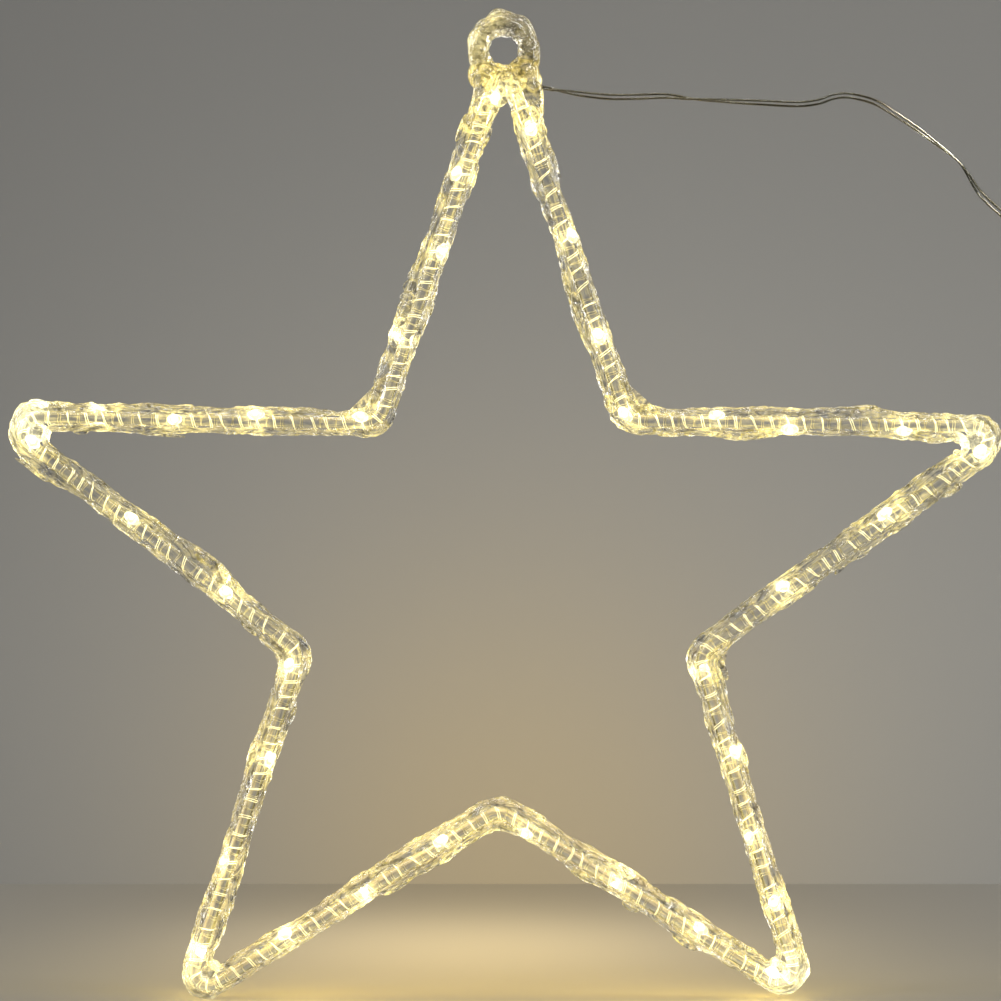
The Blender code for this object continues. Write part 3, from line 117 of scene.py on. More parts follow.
# The LEDs: limb, share along its free stretch, angle in degrees from the front towards the star's outside
LED_PLACE_SHARES = (
    (0, 0.005, -38),
    (0, 0.249, 35),
    (0, 0.474, -25),
    (0, 0.74, 142),
    (1, 0.047, 38),
    (1, 0.321, 38),
    (1, 0.529, 2),
    (1, 0.733, 142),
    (2, 0.118, -22),
    (2, 0.44, -21),
    (2, 0.753, -14),
    (3, 0.043, 38),
    (3, 0.297, -29),
    (3, 0.6, 32),
    (3, 0.849, 162),
    (4, 0.335, -38),
    (4, 0.57, 156),
    (4, 0.823, -21),
    (5, 0.099, 32),
    (5, 0.392, -160),
    (5, 0.653, -33),
    (5, 0.885, -38),
    (6, 0.279, -2),
    (6, 0.477, -29),
    (6, 0.711, 38),
    (6, 0.958, -156),
    (7, 0.276, -38),
    (7, 0.594, -38),
    (7, 0.884, -12),
    (8, 0.292, -38),
    (8, 0.584, -37),
    (8, 0.772, 38),
    (9, 0.019, -13),
    (9, 0.257, -1),
    (9, 0.559, 34),
    (9, 0.891, 5),
)
# The drops' middles over the rod's line, and how far they rise above them and reach below them
LED_HEIGHT = 3.85 * MM
LED_RISE = 1.7 * MM
LED_FALL = 1.1 * MM
# The painted LED glow: the height over the rod's line that it spreads from, its near and far fall-off in
# millimetres, and its most
LIGHT_HEIGHT = 4.0 * MM
LIGHT_NEAR = 3.4
LIGHT_FAR = 9.0
LIGHT_MOST = 1.5
DROP_GRID = (11, 20)
# How much a drop narrows upwards, and the lit chip's spread along and across it as shares of its half sizes
LED_TAPER = 0.12
CHIP_SPREADS = (0.5, 0.55)
LED_NAMES = [f"led_{number:02d}" for number in range(1, len(LED_PLACE_SHARES) + 1)]

# The melted coat along the rod's outer and inner edges
SEAT_RADIUS = 3.4 * MM
COAT_THICKNESS = 2.4 * MM
COAT_START = 6.0 * MM
COAT_STEP = 0.62 * MM
COAT_SIDES = 36
COAT_SMOOTHING = 9
COAT_LIFT = 0.25 * MM
COAT_LEAST = 0.12 * MM
COAT_TAPER = 6 * MM
FOLD_HEIGHT = 0.32 * MM
RIDGE_HEIGHT = 0.2 * MM
SEAT_RIPPLE = 0.05 * MM
# A coat's half angle round the rod in degrees: its middle, its waves, what it gains with thickness, the share
# of thickness that gains nothing, and its least and most. Then how far the whole band sways
BAND_ANGLE = 41
BAND_ANGLE_WAVES = 8
BAND_ANGLE_GAIN = 10
BAND_EVEN_SHARE = 0.8
BAND_ANGLE_LEAST = 28
BAND_ANGLE_MOST = 68
BAND_SWAY = 7
# Waves over a coat: how many, the shortest and longest, and the most that one turns with the angle
BAND_WIDTHS = (5, 9 * MM, 40 * MM, 0)
BAND_SWAYS = (4, 14 * MM, 50 * MM, 0)
BAND_FOLDS = (18, 9 * MM, 50 * MM, 11.0)
BAND_RIDGES = (14, 3.5 * MM, 12 * MM, 1.0)
INNER_TIP_BEND = 3.2 * MM
OUTER_SHARES = (
    (0.85, 1.25, 0.85, 1.10, 0.90, 1.25, 1.45, 1.40, 1.30),
    (0.30, 0.85, 0.90, 0.60, 0.85, 1.00, 0.90, 0.90, 1.15),
    (0.85, 1.45, 0.45, 0.45, 0.45, 0.50, 0.35, 0.35, 0.85),
    (0.95, 0.85, 1.25, 0.75, 0.50, 0.35, 0.60, 0.50, 0.30),
    (0.30, 0.30, 0.35, 0.30, 0.30, 0.30, 0.65, 1.30, 0.85),
    (0.30, 0.30, 0.85, 0.30, 0.50, 0.65, 0.50, 0.30, 0.30),
    (1.00, 1.05, 0.85, 0.65, 0.60, 0.60, 0.65, 0.75, 1.30),
    (0.30, 0.30, 0.30, 0.30, 0.85, 0.85, 0.85, 0.65, 0.65),
    (0.30, 0.30, 0.65, 1.30, 1.00, 0.85, 1.00, 0.65, 0.35),
    (0.50, 0.30, 0.30, 0.30, 0.35, 0.30, 0.60, 1.10, 1.30),
)
INNER_SHARES = (
    (0.30, 0.35, 0.30, 0.30, 0.35, 0.35, 0.65, 0.30, 0.30),
    (0.45, 0.50, 0.65, 0.45, 0.45, 1.00, 0.45, 0.65, 0.50),
    (0.50, 0.35, 0.85, 0.80, 1.15, 1.65, 2.10, 0.65, 0.50),
    (0.30, 0.50, 0.35, 0.30, 0.30, 0.90, 1.15, 1.00, 0.50),
    (0.50, 0.90, 0.90, 0.30, 0.90, 1.30, 1.30, 1.30, 1.00),
    (1.30, 0.90, 1.15, 1.65, 0.90, 1.30, 0.90, 1.15, 0.50),
    (0.30, 0.30, 0.45, 0.30, 0.30, 0.30, 0.30, 0.50, 0.30),
    (0.85, 1.10, 1.00, 0.85, 1.00, 1.10, 1.30, 1.15, 0.50),
    (0.50, 1.30, 0.80, 0.30, 0.30, 0.35, 1.30, 0.80, 0.65),
    (0.85, 0.85, 1.60, 1.05, 0.35, 0.85, 0.85, 0.85, 0.65),
)
OUTER_CORNERS = (1.0, 1.2)
INNER_CORNERS = (1.0, 0.9)

# The eye's foot, which surrounds the apex
FOOT_HEIGHT = 11.4 * MM
ROD_CAD_DIAMETER = 4.4 * MM

# The lead's route, in millimetres, from the splice sleeve to the battery box's grommet
LEAD_ROUTE = (
    (14.4, 5.3, -13.6),
    (21.0, 5.3, -14.8),
    (31.0, 5.0, -16.4),
    (41.0, 4.6, -17.4),
    (51.4, 4.2, -17.4),
    (63.3, 3.8, -17.2),
    (73.7, 3.4, -18.4),
    (83.7, 3.0, -19.0),
    (98.8, 2.6, -19.8),
    (115.3, 2.2, -20.4),
    (122.4, 2.0, -19.3),
    (126.8, 2.0, -17.7),
    (131.9, 2.0, -17.1),
    (137.2, 2.0, -17.9),
    (143.8, 2.0, -20.0),
    (153.8, 2.0, -26.1),
    (160.4, 2.0, -30.6),
    (166.1, 2.0, -35.0),
    (171.5, 1.8, -39.1),
    (176.0, 1.6, -43.3),
    (179.2, 1.4, -47.9),
    (182.8, 1.2, -53.8),
    (187.5, 1.0, -58.8),
    (192.2, 1.0, -63.0),
    (198.0, 1.0, -70.0),
    (203.0, 1.0, -83.0),
    (206.0, 1.0, -105.0),
    (206.8, 0.8, -150.0),
    (206.0, 0.6, -200.0),
    (204.6, 0.4, -250.0),
    (203.2, 0.2, -300.0),
    (202.8, 0.0, -329.4),
    (203.4, 0.0, -344.7),
    (206.2, 0.0, -353.2),
    (210.4, 0.0, -356.1),
    (213.7, 0.0, -356.7),
)
LEAD_DIAMETER = 2.2 * MM
LEAD_STEP = 1.2 * MM
CURVE_STEPS = 24
LEAD_SETTLE = 6.0 * MM
# The room across its wires as a share of its diameter, and how much of that is left where they close up
LEAD_ROOM = 1.15
LEAD_CLOSED = 0.45
CORE_SIDES = 8
SHEATH_SIDES = 12
# Where the lead's two wires cross, seen from the front, as places along X
LEAD_CROSSINGS = (20.6, 74.5, 176.9, 206.0)

# The cell springs, as built in the frame
SPRING_WIRE = 0.8 * MM
SPRING_BASE = 8.6 * MM
SPRING_TOP = 5.4 * MM
SPRING_CURLS = 4
SPRING_FLAT = 0.75
SPRING_POINTS = 220
SPRING_SIDES = 10

# The battery box's plastics: material, nodes, colour or none for the shell's own, and roughness
BOX_PLASTICS = (
    ("moulded_white_abs", ("battery_tray", "battery_cover", "bay_lid"), None, 0.42),
    ("moulded_black_nylon", ("switch_body", "switch_knob"), "#1c1c1e", 0.45),
    ("soft_black_pvc", ("lead_grommet",), "#2a2a2b", 0.6),
)
PLATED_NODES = ("contact_positive", "contact_bridge_left", "contact_bridge_right", "contact_return")
CHIP_HEIGHT = 1.1 * MM

# The cells: length, nub, and where the copper band and the sleeve end, in millimetres from the nub's tip
CELL_LENGTH = 50.5
CELL_NUB = 2.0
CELL_BAND_END = 15.0
CELL_WRAP_END = 49.9

# Lenses and swellings of the melt: limb, share along it, distance outwards from the rod's line, length, width
# and depth, all in millimetres
MELT_LENSES = (
    (0, 0.215, 6.2, 11.0, 2.6, 4.0),
    (0, 0.22, -4.6, 8.0, 1.8, 2.6),
    (0, 0.66, -4.9, 11.0, 1.8, 2.6),
    (1, 0.235, 4.7, 9.0, 1.8, 3.0),
    (1, 0.30, -5.0, 8.0, 1.2, 2.0),
    (1, 0.565, -5.7, 17.0, 1.5, 2.4),
    (1, 0.60, 5.2, 10.0, 2.4, 3.4),
    (1, 0.775, -5.2, 6.0, 1.8, 2.6),
    (1, 0.885, 5.4, 8.0, 3.2, 3.6),
    (2, 0.17, 6.9, 19.0, 1.9, 3.4),
    (2, 0.54, -5.4, 10.0, 2.6, 3.4),
    (2, 0.665, -6.6, 14.0, 4.4, 4.4),
    (2, 0.72, -4.6, 6.0, 4.6, 4.4),
    (2, 0.86, 5.0, 7.0, 2.2, 3.0),
    (2, 0.91, 5.1, 6.0, 2.4, 3.0),
    (3, 0.30, 5.0, 9.0, 2.0, 3.0),
    (3, 0.17, -4.7, 8.0, 2.0, 2.8),
    (4, 0.665, 5.1, 12.0, 2.5, 3.2),
    (4, 0.82, 5.4, 9.0, 3.0, 3.4),
    (4, 0.90, 5.0, 8.0, 2.0, 3.0),
    (4, 0.64, -4.9, 9.0, 2.0, 3.0),
    (5, 0.105, -5.6, 7.0, 2.8, 3.2),
    (5, 0.293, 4.9, 10.0, 2.8, 3.2),
    (5, 0.39, -5.5, 8.5, 3.4, 3.6),
    (5, 0.455, 5.0, 7.5, 2.7, 3.2),
    (5, 0.56, -5.0, 9.0, 3.8, 3.8),
    (5, 0.64, 5.6, 11.0, 3.4, 3.4),
    (5, 0.77, -5.0, 9.0, 2.4, 3.0),
    (6, 0.23, 4.6, 15.0, 2.0, 3.0),
    (6, 0.70, 5.0, 10.0, 3.0, 3.0),
    (6, 0.94, 7.6, 9.0, 2.6, 3.0),
    (7, 0.425, 5.0, 7.0, 2.0, 2.8),
    (7, 0.49, 5.4, 6.5, 2.2, 2.8),
    (7, 0.44, -4.5, 8.0, 1.8, 2.6),
    (7, 0.61, 5.2, 12.0, 2.6, 3.4),
    (7, 0.77, 5.4, 9.0, 3.4, 3.8),
    (8, 0.21, -5.2, 9.5, 3.0, 3.2),
    (8, 0.40, 6.2, 13.0, 2.4, 3.2),
    (8, 0.67, -4.9, 14.0, 3.4, 3.2),
    (8, 0.76, -4.7, 9.0, 2.6, 3.0),
    (8, 0.88, -4.9, 12.0, 2.4, 3.0),
    (9, 0.055, -4.6, 7.5, 3.8, 3.6),
    (9, 0.31, -5.0, 15.0, 3.4, 3.6),
    (9, 0.39, -4.9, 10.0, 2.4, 3.0),
    (9, 0.70, 5.0, 9.0, 2.6, 3.2),
)
# Curls of drawn melt: limb, share, distance outwards, ring and thread radius in millimetres, lean in degrees
MELT_CURLS = (
    (0, 0.612, 5.0, 2.2, 0.34, 12.0),
    (0, 0.641, 5.2, 2.5, 0.32, -20.0),
    (0, 0.672, 5.0, 2.3, 0.36, 25.0),
    (0, 0.705, 4.8, 2.0, 0.34, -10.0),
    (0, 0.738, 4.4, 1.9, 0.32, 15.0),
    (7, 0.835, -4.8, 1.5, 0.45, 30.0),
    (8, 0.155, -4.8, 1.7, 0.45, -25.0),
)
# Threads that leave the coat and join it again: limb, first and last share, distance outwards, rise, radius
MELT_THREADS = (
    (1, 0.82, 0.90, 4.9, 0.9, 0.50),
    (2, 0.10, 0.235, 5.6, 2.3, 0.60),
    (3, 0.655, 0.85, 4.2, 1.0, 0.55),
    (4, 0.60, 0.73, 4.4, 1.3, 0.50),
    (4, 0.86, 0.935, 4.2, 1.2, 0.50),
    (6, 0.12, 0.30, 4.2, 0.7, 0.50),
    (7, 0.20, 0.39, 4.2, 0.6, 0.45),
    (8, 0.33, 0.50, 5.2, 1.2, 0.55),
    (9, 0.635, 0.705, 4.2, 1.4, 0.45),
    (9, 0.28, 0.44, -5.2, -1.0, 0.55),
    (0, 0.28, 0.40, -4.4, -0.8, 0.50),
    (3, 0.72, 0.84, -4.6, -0.9, 0.50),
    (8, 0.60, 0.80, -4.8, -1.2, 0.50),
    (7, 0.05, 0.20, -4.4, -0.8, 0.50),
)
# Webs drawn across the notches: corner, reach along the limb before it and after it in millimetres
MELT_WEBS = ((1, 21.0, 13.0), (3, 13.0, 13.0), (5, 12.0, 11.0), (7, 17.0, 13.0), (9, 13.0, 17.0))
# How far in front of the rod's line the curls and webs lie, how far the webs stand off the corner, how deep
# in millimetres a thread's ends are sunk, and the rings and points of each
CURL_FRONT = 2.6 * MM
WEB_FRONT = 0.6 * MM
WEB_LIFT = 2.2 * MM
THREAD_SUNK = 1.2
THREAD_SWAY = 0.25 * MM
THREAD_DEPTHS = (-0.8 * MM, 0.7 * MM)
CURL_POINTS = 40
CURL_SIDES = 10
THREAD_POINTS = 60
THREAD_SIDES = 12
WEB_RINGS = 26
WEB_SIDES = 36
# A lens's rings and sides, how far it may lie in front or behind, and how far it leans in radians. Then how
# lumpy each kind of swelling is
LENS_GRID = (17, 28)
LENS_DEPTH = 0.6 * MM
LENS_LEAN = 0.12
LENS_LUMPS = 0.07
POOL_LUMPS = 0.1
SWELLING_LUMPS = 0.12

# Melt pooled in the tips: corner, distance from it inwards, half length, width and depth in millimetres
TIP_POOLS = (
    (2, 17.6, 4.6, 3.4, 3.2),
    (4, 16.5, 4.6, 3.0, 3.0),
    (6, 14.0, 4.6, 3.0, 3.0),
    (8, 18.0, 5.0, 3.2, 3.0),
)

# The melt's swelling over each LED: rings and sides, half length, width and depth in millimetres, height, and
# how far in millimetres its painted glow of the near light reaches
SWELLING_GRID = (17, 30)
SWELLING_LONG = (2.7, 3.3)
SWELLING_WIDE = (1.9, 2.3)
SWELLING_DEEP = 1.75
SWELLING_HEIGHT = 4.1 * MM
SWELLING_NEAR = 2.5

# The least radius of the eye's hole in millimetres, the grids of its parts, and how lumpy each kind is
EYE_HOLE = 5.45
LAP_RINGS = 180
LAP_SMOOTHING = 33
LEG_RINGS = 90
LEG_SMOOTHING = 15
EYE_SECTION = np.arange(30) * math.tau / 30
LUMP_GRID = (23, 40)
LAP_LUMPS = 0.1
LUMP_LUMPS = 0.09
LEG_LUMPS = 0.05
# The eye's laps in millimetres: depth, half depth, inner radius, and outer radii every 45 degrees clockwise
EYE_LAPS = (
    (-2.3, 2.0, 5.5, (13.0, 11.6, 11.8, 13.6, 11.4, 13.4, 12.8, 13.2)),
    (0.2, 2.1, 6.0, (14.9, 13.9, 14.1, 14.3, 11.6, 13.8, 13.8, 14.6)),
    (2.5, 1.9, 5.6, (16.6, 14.9, 13.0, 13.0, 11.0, 12.8, 12.6, 14.0)),
)
# Swellings of the eye: x, z, half width, half height, half depth and depth, in millimetres
EYE_LUMPS = (
    (0.6, -12.6, 8.0, 5.6, 4.5, 0.0),
    (-1.6, -17.5, 3.6, 4.2, 3.8, 0.0),
    (11.2, -11.8, 3.4, 4.2, 3.4, 0.6),
    (-10.6, -9.6, 3.2, 5.0, 3.2, 0.2),
)
# The eye's legs down both limbs: x and z of their middles, half width and half depth, in millimetres
EYE_LEGS = (
    (
        (-8.0, -4.5, 3.6, 3.2),
        (-7.8, -9.0, 5.2, 4.2),
        (-6.4, -14.0, 5.2, 4.7),
        (-6.6, -19.0, 5.6, 4.6),
        (-7.8, -24.0, 5.6, 4.5),
        (-10.3, -28.5, 5.9, 4.3),
        (-11.4, -32.5, 4.6, 3.8),
    ),
    (
        (9.4, -3.0, 4.2, 3.2),
        (8.6, -9.0, 5.5, 4.2),
        (8.4, -14.0, 6.7, 4.7),
        (8.1, -19.0, 6.9, 4.7),
        (9.2, -24.0, 6.3, 4.6),
        (10.3, -28.5, 5.4, 4.3),
        (11.4, -32.5, 4.4, 3.8),
    ),
)

# Spots of painted glow where the acrylic guides the LEDs' light to: x, z and radius in millimetres, and
# strength
GUIDED_LIGHT = (
    (-184.2, -142.5, 8.2, 0.75),
    (-178.0, -146.5, 3.5, 0.5),
    (-178.4, -135.5, 3.5, 0.7),
    (179.8, -149.0, 8.5, 0.68),
    (-116.8, -356.0, 8.0, 0.45),
    (111.0, -355.0, 9.0, 0.75),
    (1.5, -13.8, 3.5, 0.6),
    (4.5, -19.0, 4.0, 0.5),
    (13.5, -11.5, 2.2, 1.2),
    (-11.5, 3.5, 5.0, 0.75),
    (-10.0, -5.0, 3.5, 0.4),
    (-3.5, 12.5, 4.5, 0.6),
    (10.0, 8.5, 3.5, 0.35),
    (-35.0, -89.0, 5.0, 0.3),
)

# Patterns of the acrylic: scales of its painted bright spots, ripples, fold lines in painted shade and glow,
# and zones of painted glow. They run along a drawn strand, with spots about 6 mm long and half a millimetre
# wide. The folds of a pool are about 2 mm wide
DRAWN_SCALES = ((160.0, 1500.0, 400.0), (260.0, 1100.0, 300.0), (38.0, 230.0, 70.0), (110.0, 260.0, 150.0))
POOLED_SCALES = ((480.0,) * 3, (700.0,) * 3, (150.0, 130.0, 170.0), (150.0,) * 3)
FOLD_LEVELS = 7.0

# The camera: its sensor in millimetres, its distance from the star, and the width and middle of what it sees
SENSOR_WIDTH = 36.0
CAMERA_DISTANCE = 1.6
VIEW_WIDTH = 385.4 * MM
VIEW_MIDDLE = (-1.16 * MM, -173.25 * MM)

# The stage: half its width, the backdrop's place and height, and the gap under the solids' lowest point
STAGE_HALF = 3.0
WALL = 0.477
BACKDROP_HEIGHT = 2.6
TABLE_CLEARANCE = 0.1 * MM
# Each board's painted light: its tones at the left and right, and the middle, spreads and height of its
# painted bright and warm zones
TABLE_PAINTED_LIGHT = (
    (0.71, 0.7),
    ((-0.014, 0.2, 0.0), (0.117, 0.15, 0.0), 0.95),
    ((-0.014, 0.2, 0.0), (0.16, 0.4, 0.0), 0.82),
)
BACKDROP_PAINTED_LIGHT = (
    (0.53, 0.66),
    ((0.05, 0.0, -0.3), (0.45, 0.0, 0.3), 0.74),
    ((0.0, 0.0, -0.373), (0.16, 0.0, 0.17), 0.75),
)
# The left and right painted tones lie this far from the middle. Bent light sees each board in painted shade,
# dim from here to there
PAINTED_LIGHT_REACH = 0.25
PAINTED_DIM_RANGE = (0.28, 0.46)
PAINTED_DIM_TONE = 0.05
WORLD_GREY = 0.42
# Soft lamps: name, place, width and height, power in watts. They aim at one point
LAMPS = (
    ("left_softbox", (-1.5, -0.9, 0.9), (0.4, 1.2), 16.0),
    ("right_softbox", (1.3, -0.75, 1.15), (0.4, 1.2), 17.0),
    ("top_softbox", (0.0, -0.3, 1.6), (1.2, 0.4), 14.0),
)
LAMP_AIM = (0.0, 0.0, -0.17)
# Strips beyond the picture's sides and top draw rims on the clear pieces: name, place, turn and power
CLEAR_PIECES = ("outer_coat", "inner_coat", "melt_details", "melted_eye")
RIM_STRIPS = (
    ("left_rim_strip", (-0.75, 0.22, -0.15), (math.pi / 2, 0.0, -math.pi / 2), 5.0),
    ("right_rim_strip", (0.75, 0.22, -0.15), (math.pi / 2, 0.0, math.pi / 2), 5.0),
    ("top_rim_strip", (0.0, 0.22, 0.6), (0.0, 0.0, math.pi / 2), 0.8),
)
RIM_SIZE = (0.25, 1.1)
# The place on the lead that glints and the lead's direction there, and the lamp that it mirrors
LEAD_GLINT = (0.163, 0.0, -0.034)
LEAD_SLOPE = (0.762, 0.0, -0.648)
LEAD_SPOT = (0.988, -0.795, 0.934)
LEAD_SPOT_SIZE = (0.2, 1.6)
LEAD_SPOT_POWER = 28.0
# Each LED lamp's power in watts, the share of it that reaches the table beside it, the height over the table
# that adds a whole share, and the lamp's radius
LED_POWER = 0.056
LED_LOW_SHARE = 0.42
LED_FULL_HEIGHT = 90 * MM
LED_LAMP_RADIUS = 1.8 * MM


def srgb(code):
    """A hex colour as linear red, green and blue."""
    parts = [int(code[i : i + 2], 16) / 255 for i in (1, 3, 5)]
    return tuple(c / 12.92 if c <= 0.04045 else ((c + 0.055) / 1.055) ** 2.4 for c in parts)


def size_property(name, description, millimetres):
    return bpy.props.FloatProperty(
        name=name,
        description=description,
        default=millimetres * MM,
        min=0.01 * MM,
        precision=5,
        unit="LENGTH",
    )


def colour_property(name, description, code):
    return bpy.props.FloatVectorProperty(
        name=name,
        description=description,
        default=srgb(code),
        min=0.0,
        max=1.0,
        size=3,
        subtype="COLOR",
    )


class StarSizes(bpy.types.PropertyGroup):
    """Sizes of the star's pieces."""

    rod_diameter: size_property("Rod diameter", "Diameter of the clear rod", 4.4)
    winding_pitch: size_property("Winding pitch", "Distance along the rod from turn to turn", 6.3)
    wire_diameter: size_property("Wire diameter", "Diameter of each lacquered wire of the pair", 0.3)
    wire_spacing: size_property("Wire spacing", "Distance between the two wires' middles", 0.82)
    led_length: size_property("LED length", "Length of a resin drop along the wire", 3.8)
    led_width: size_property("LED width", "Width of a resin drop across the wire", 2.8)
    core_diameter: size_property("Lead core diameter", "Diameter of each metal core in the lead", 0.42)
    sheath_diameter: size_property("Lead wire diameter", "Diameter of each insulated wire of the lead", 0.95)


class StarColours(bpy.types.PropertyGroup):
    """Colours of the star's finishes and of the stage."""

    led_light: colour_property("LED light", "Colour of the warm white LEDs", "#fff8c2")
    glow: colour_property("Glow", "Colour of the light caught in the acrylic", "#fde582")
    wire: colour_property("Wire", "Colour of the lacquered wire", "#efe7cf")
    core: colour_property("Lead core", "Colour of the lead's tinned cores", "#a9a693")
    shell: colour_property("Battery box", "Colour of the moulded box", "#f0eee8")
    backdrop: colour_property("Backdrop", "Colour of the backdrop", "#8d8c88")
    table: colour_property("Table", "Colour of the table", "#98948c")
    warm: colour_property("Warm light", "Colour of both boards where the star lights them", "#b19f79")


def sizes():
    return bpy.context.scene.star_sizes


def colours():
    return bpy.context.scene.star_colours


def rgba(colour):
    return (*colour, 1.0)


# Shapes


def unit(vectors):
    """Vectors scaled to length one."""
    return vectors / np.linalg.norm(vectors, axis=-1, keepdims=True)


def smoothed(values, width, mode):
    """Values on even steps, averaged with their neighbours under a bell of an odd width."""
    soft = np.hanning(width)
    return np.convolve(np.pad(values, width // 2, mode=mode), soft / soft.sum(), mode="valid")


def lengths_along(route):
    """The length of a route up to each of its points."""
    return np.concatenate([[0.0], np.cumsum(np.linalg.norm(np.diff(route, axis=0), axis=1))])


def tube_quads(rings, sides, loop):
    """Faces of a grid of rings, each ring joined to the next and, in a loop, the last to the first."""
    ring = np.arange(rings if loop else rings - 1)[:, None]
    side = np.arange(sides)[None]
    after = (ring + 1) % rings
    beside = (side + 1) % sides
    corners = [ring * sides + side, ring * sides + beside, after * sides + beside, after * sides + side]
    return np.stack(corners, axis=-1).reshape(-1, 4)


def carried(rings, loop=False):
    """A closed surface through rings of points, (rings, sides, 3 or more). Open ends are closed by fans."""
    count, sides, columns = rings.shape
    points = rings.reshape(-1, columns)
    quads = tube_quads(count, sides, loop)
    if loop:
        return points, quads, np.empty((0, 3), int)
    points = np.vstack([points, rings[0].mean(axis=0), rings[-1].mean(axis=0)])
    side = np.arange(sides)
    beside = (side + 1) % sides
    last = (count - 1) * sides
    first_fan = np.column_stack([np.full(sides, count * sides), beside, side])
    last_fan = np.column_stack([np.full(sides, count * sides + 1), last + side, last + beside])
    return points, quads, np.vstack([first_fan, last_fan])


def tube(centres, across, up, half_across, half_up, sides, loop=False):
    """An elliptical ring about each centre: centre + across * a * cos(t) + up * b * sin(t)."""
    turn = np.arange(sides) * math.tau / sides
    half_across = np.broadcast_to(half_across, len(centres))[:, None, None]
    half_up = np.broadcast_to(half_up, len(centres))[:, None, None]
    rings = (
        centres[:, None]
        + across[:, None] * half_across * np.cos(turn)[None, :, None]
        + up[:, None] * half_up * np.sin(turn)[None, :, None]
    )
    return carried(rings, loop)


def ball(rings, sides):
    """A sphere of radius one, (sin(u) cos(v), sin(u) sin(v), cos(u)), with single points at its poles."""
    tilt = np.linspace(0, math.pi, rings + 2)[1:-1, None]
    turn = np.arange(sides)[None] * math.tau / sides
    grid = [np.sin(tilt) * np.cos(turn), np.sin(tilt) * np.sin(turn), np.cos(tilt) * np.ones_like(turn)]
    points, quads, fans = carried(np.stack(grid, axis=-1))
    points[-2:] = (0, 0, 1), (0, 0, -1)
    return points, quads, fans


def joined(shapes):
    """Several closed surfaces as one mesh's points and faces, each with its faces turned outwards."""
    points, quads, tris, count = [], [], [], 0
    for shape in shapes:
        spots, fours, threes = shape
        corners = np.vstack([fours[:, [0, 1, 2]], fours[:, [0, 2, 3]], threes])
        a, b, c = (spots[corners[:, k], :3] - spots[0, :3] for k in range(3))
        if (a * np.cross(b, c)).sum() < 0:
            fours, threes = fours[:, ::-1], threes[:, ::-1]
        points.append(spots)
        quads.append(fours + count)
        tris.append(threes + count)
        count += len(spots)
    return np.vstack(points), np.vstack(quads), np.vstack(tris)


def keep(mesh, name, values):
    """Stores a number for each point of a mesh."""
    kept = mesh.attributes.new(name, "FLOAT", "POINT")
    kept.data.foreach_set("value", np.asarray(values, np.float32))


def piece(name, shapes, finish, body=BODY, replaces=(), glow=True, reach=LIGHT_NEAR):
    """A smooth mesh object made of closed surfaces, riding on a body, with its share of the LEDs' painted
    glow.
    """
    points, quads, tris = joined(shapes)
    points, flow = points[:, :3], points[:, 3:]
    mesh = bpy.data.meshes.new(name)
    mesh.from_pydata(points.tolist(), [], quads.tolist() + tris.tolist())
    mesh.shade_smooth()
    mesh.materials.append(finish)
    if flow.shape[1]:
        kept = mesh.attributes.new("flow", "FLOAT_VECTOR", "POINT")
        kept.data.foreach_set("vector", flow.astype(np.float32).ravel())
    if glow:
        for attribute, values in zip(("halo", "glow"), led_light(points, reach)):
            keep(mesh, attribute, values)
    made = bpy.data.objects.new(name, mesh)
    bpy.context.scene.collection.objects.link(made)
    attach(made, body)
    if replaces:
        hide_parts(*replaces)
    return made


def star_corners():
    """The ten sharp corners as (x, z): tips and notches in turn, each at its own reach and lean."""
    step = np.arange(2 * POINTS)
    radius = np.where(step % 2 == 0, TIP_RADIUS, NOTCH_RADIUS)
    share = np.column_stack([TIP_REACH_SHARES, NOTCH_REACH_SHARES]).ravel()
    lean = np.radians(np.column_stack([TIP_LEANS, NOTCH_LEANS]).ravel())
    angle = math.pi / 2 + math.pi * step / POINTS + lean
    reach = radius * share
    return np.column_stack([STAR_SHIFT + reach * np.cos(angle), reach * np.sin(angle) - TIP_RADIUS])


def offset_corners(corners, distance):
    """The corners of the outline moved outwards by a distance along both of their sides."""
    ahead = unit(np.roll(corners, -1, axis=0) - corners)
    after = np.column_stack([ahead[:, 1], -ahead[:, 0]])
    before = np.roll(after, 1, axis=0)
    return corners + (before + after) * distance / (1 + (before * after).sum(axis=1))[:, None]


def corner_arc(corners, index, bend):
    """Points on the arc of one radius that touches both sides of a corner."""
    corner = corners[index]
    back = unit(corners[index - 1] - corner)
    ahead = unit(corners[(index + 1) % len(corners)] - corner)
    half = math.acos(back @ ahead) / 2
    middle = corner + unit(back + ahead) * bend / math.sin(half)
    first = corner + back * bend / math.tan(half) - middle
    last = corner + ahead * bend / math.tan(half) - middle
    start = math.atan2(first[1], first[0])
    sweep = math.atan2(first[0] * last[1] - first[1] * last[0], first @ last)
    turn = start + sweep * np.linspace(0, 1, 2 * round(abs(sweep) / math.radians(6)) + 1)
    return middle + bend * np.column_stack([np.cos(turn), np.sin(turn)])


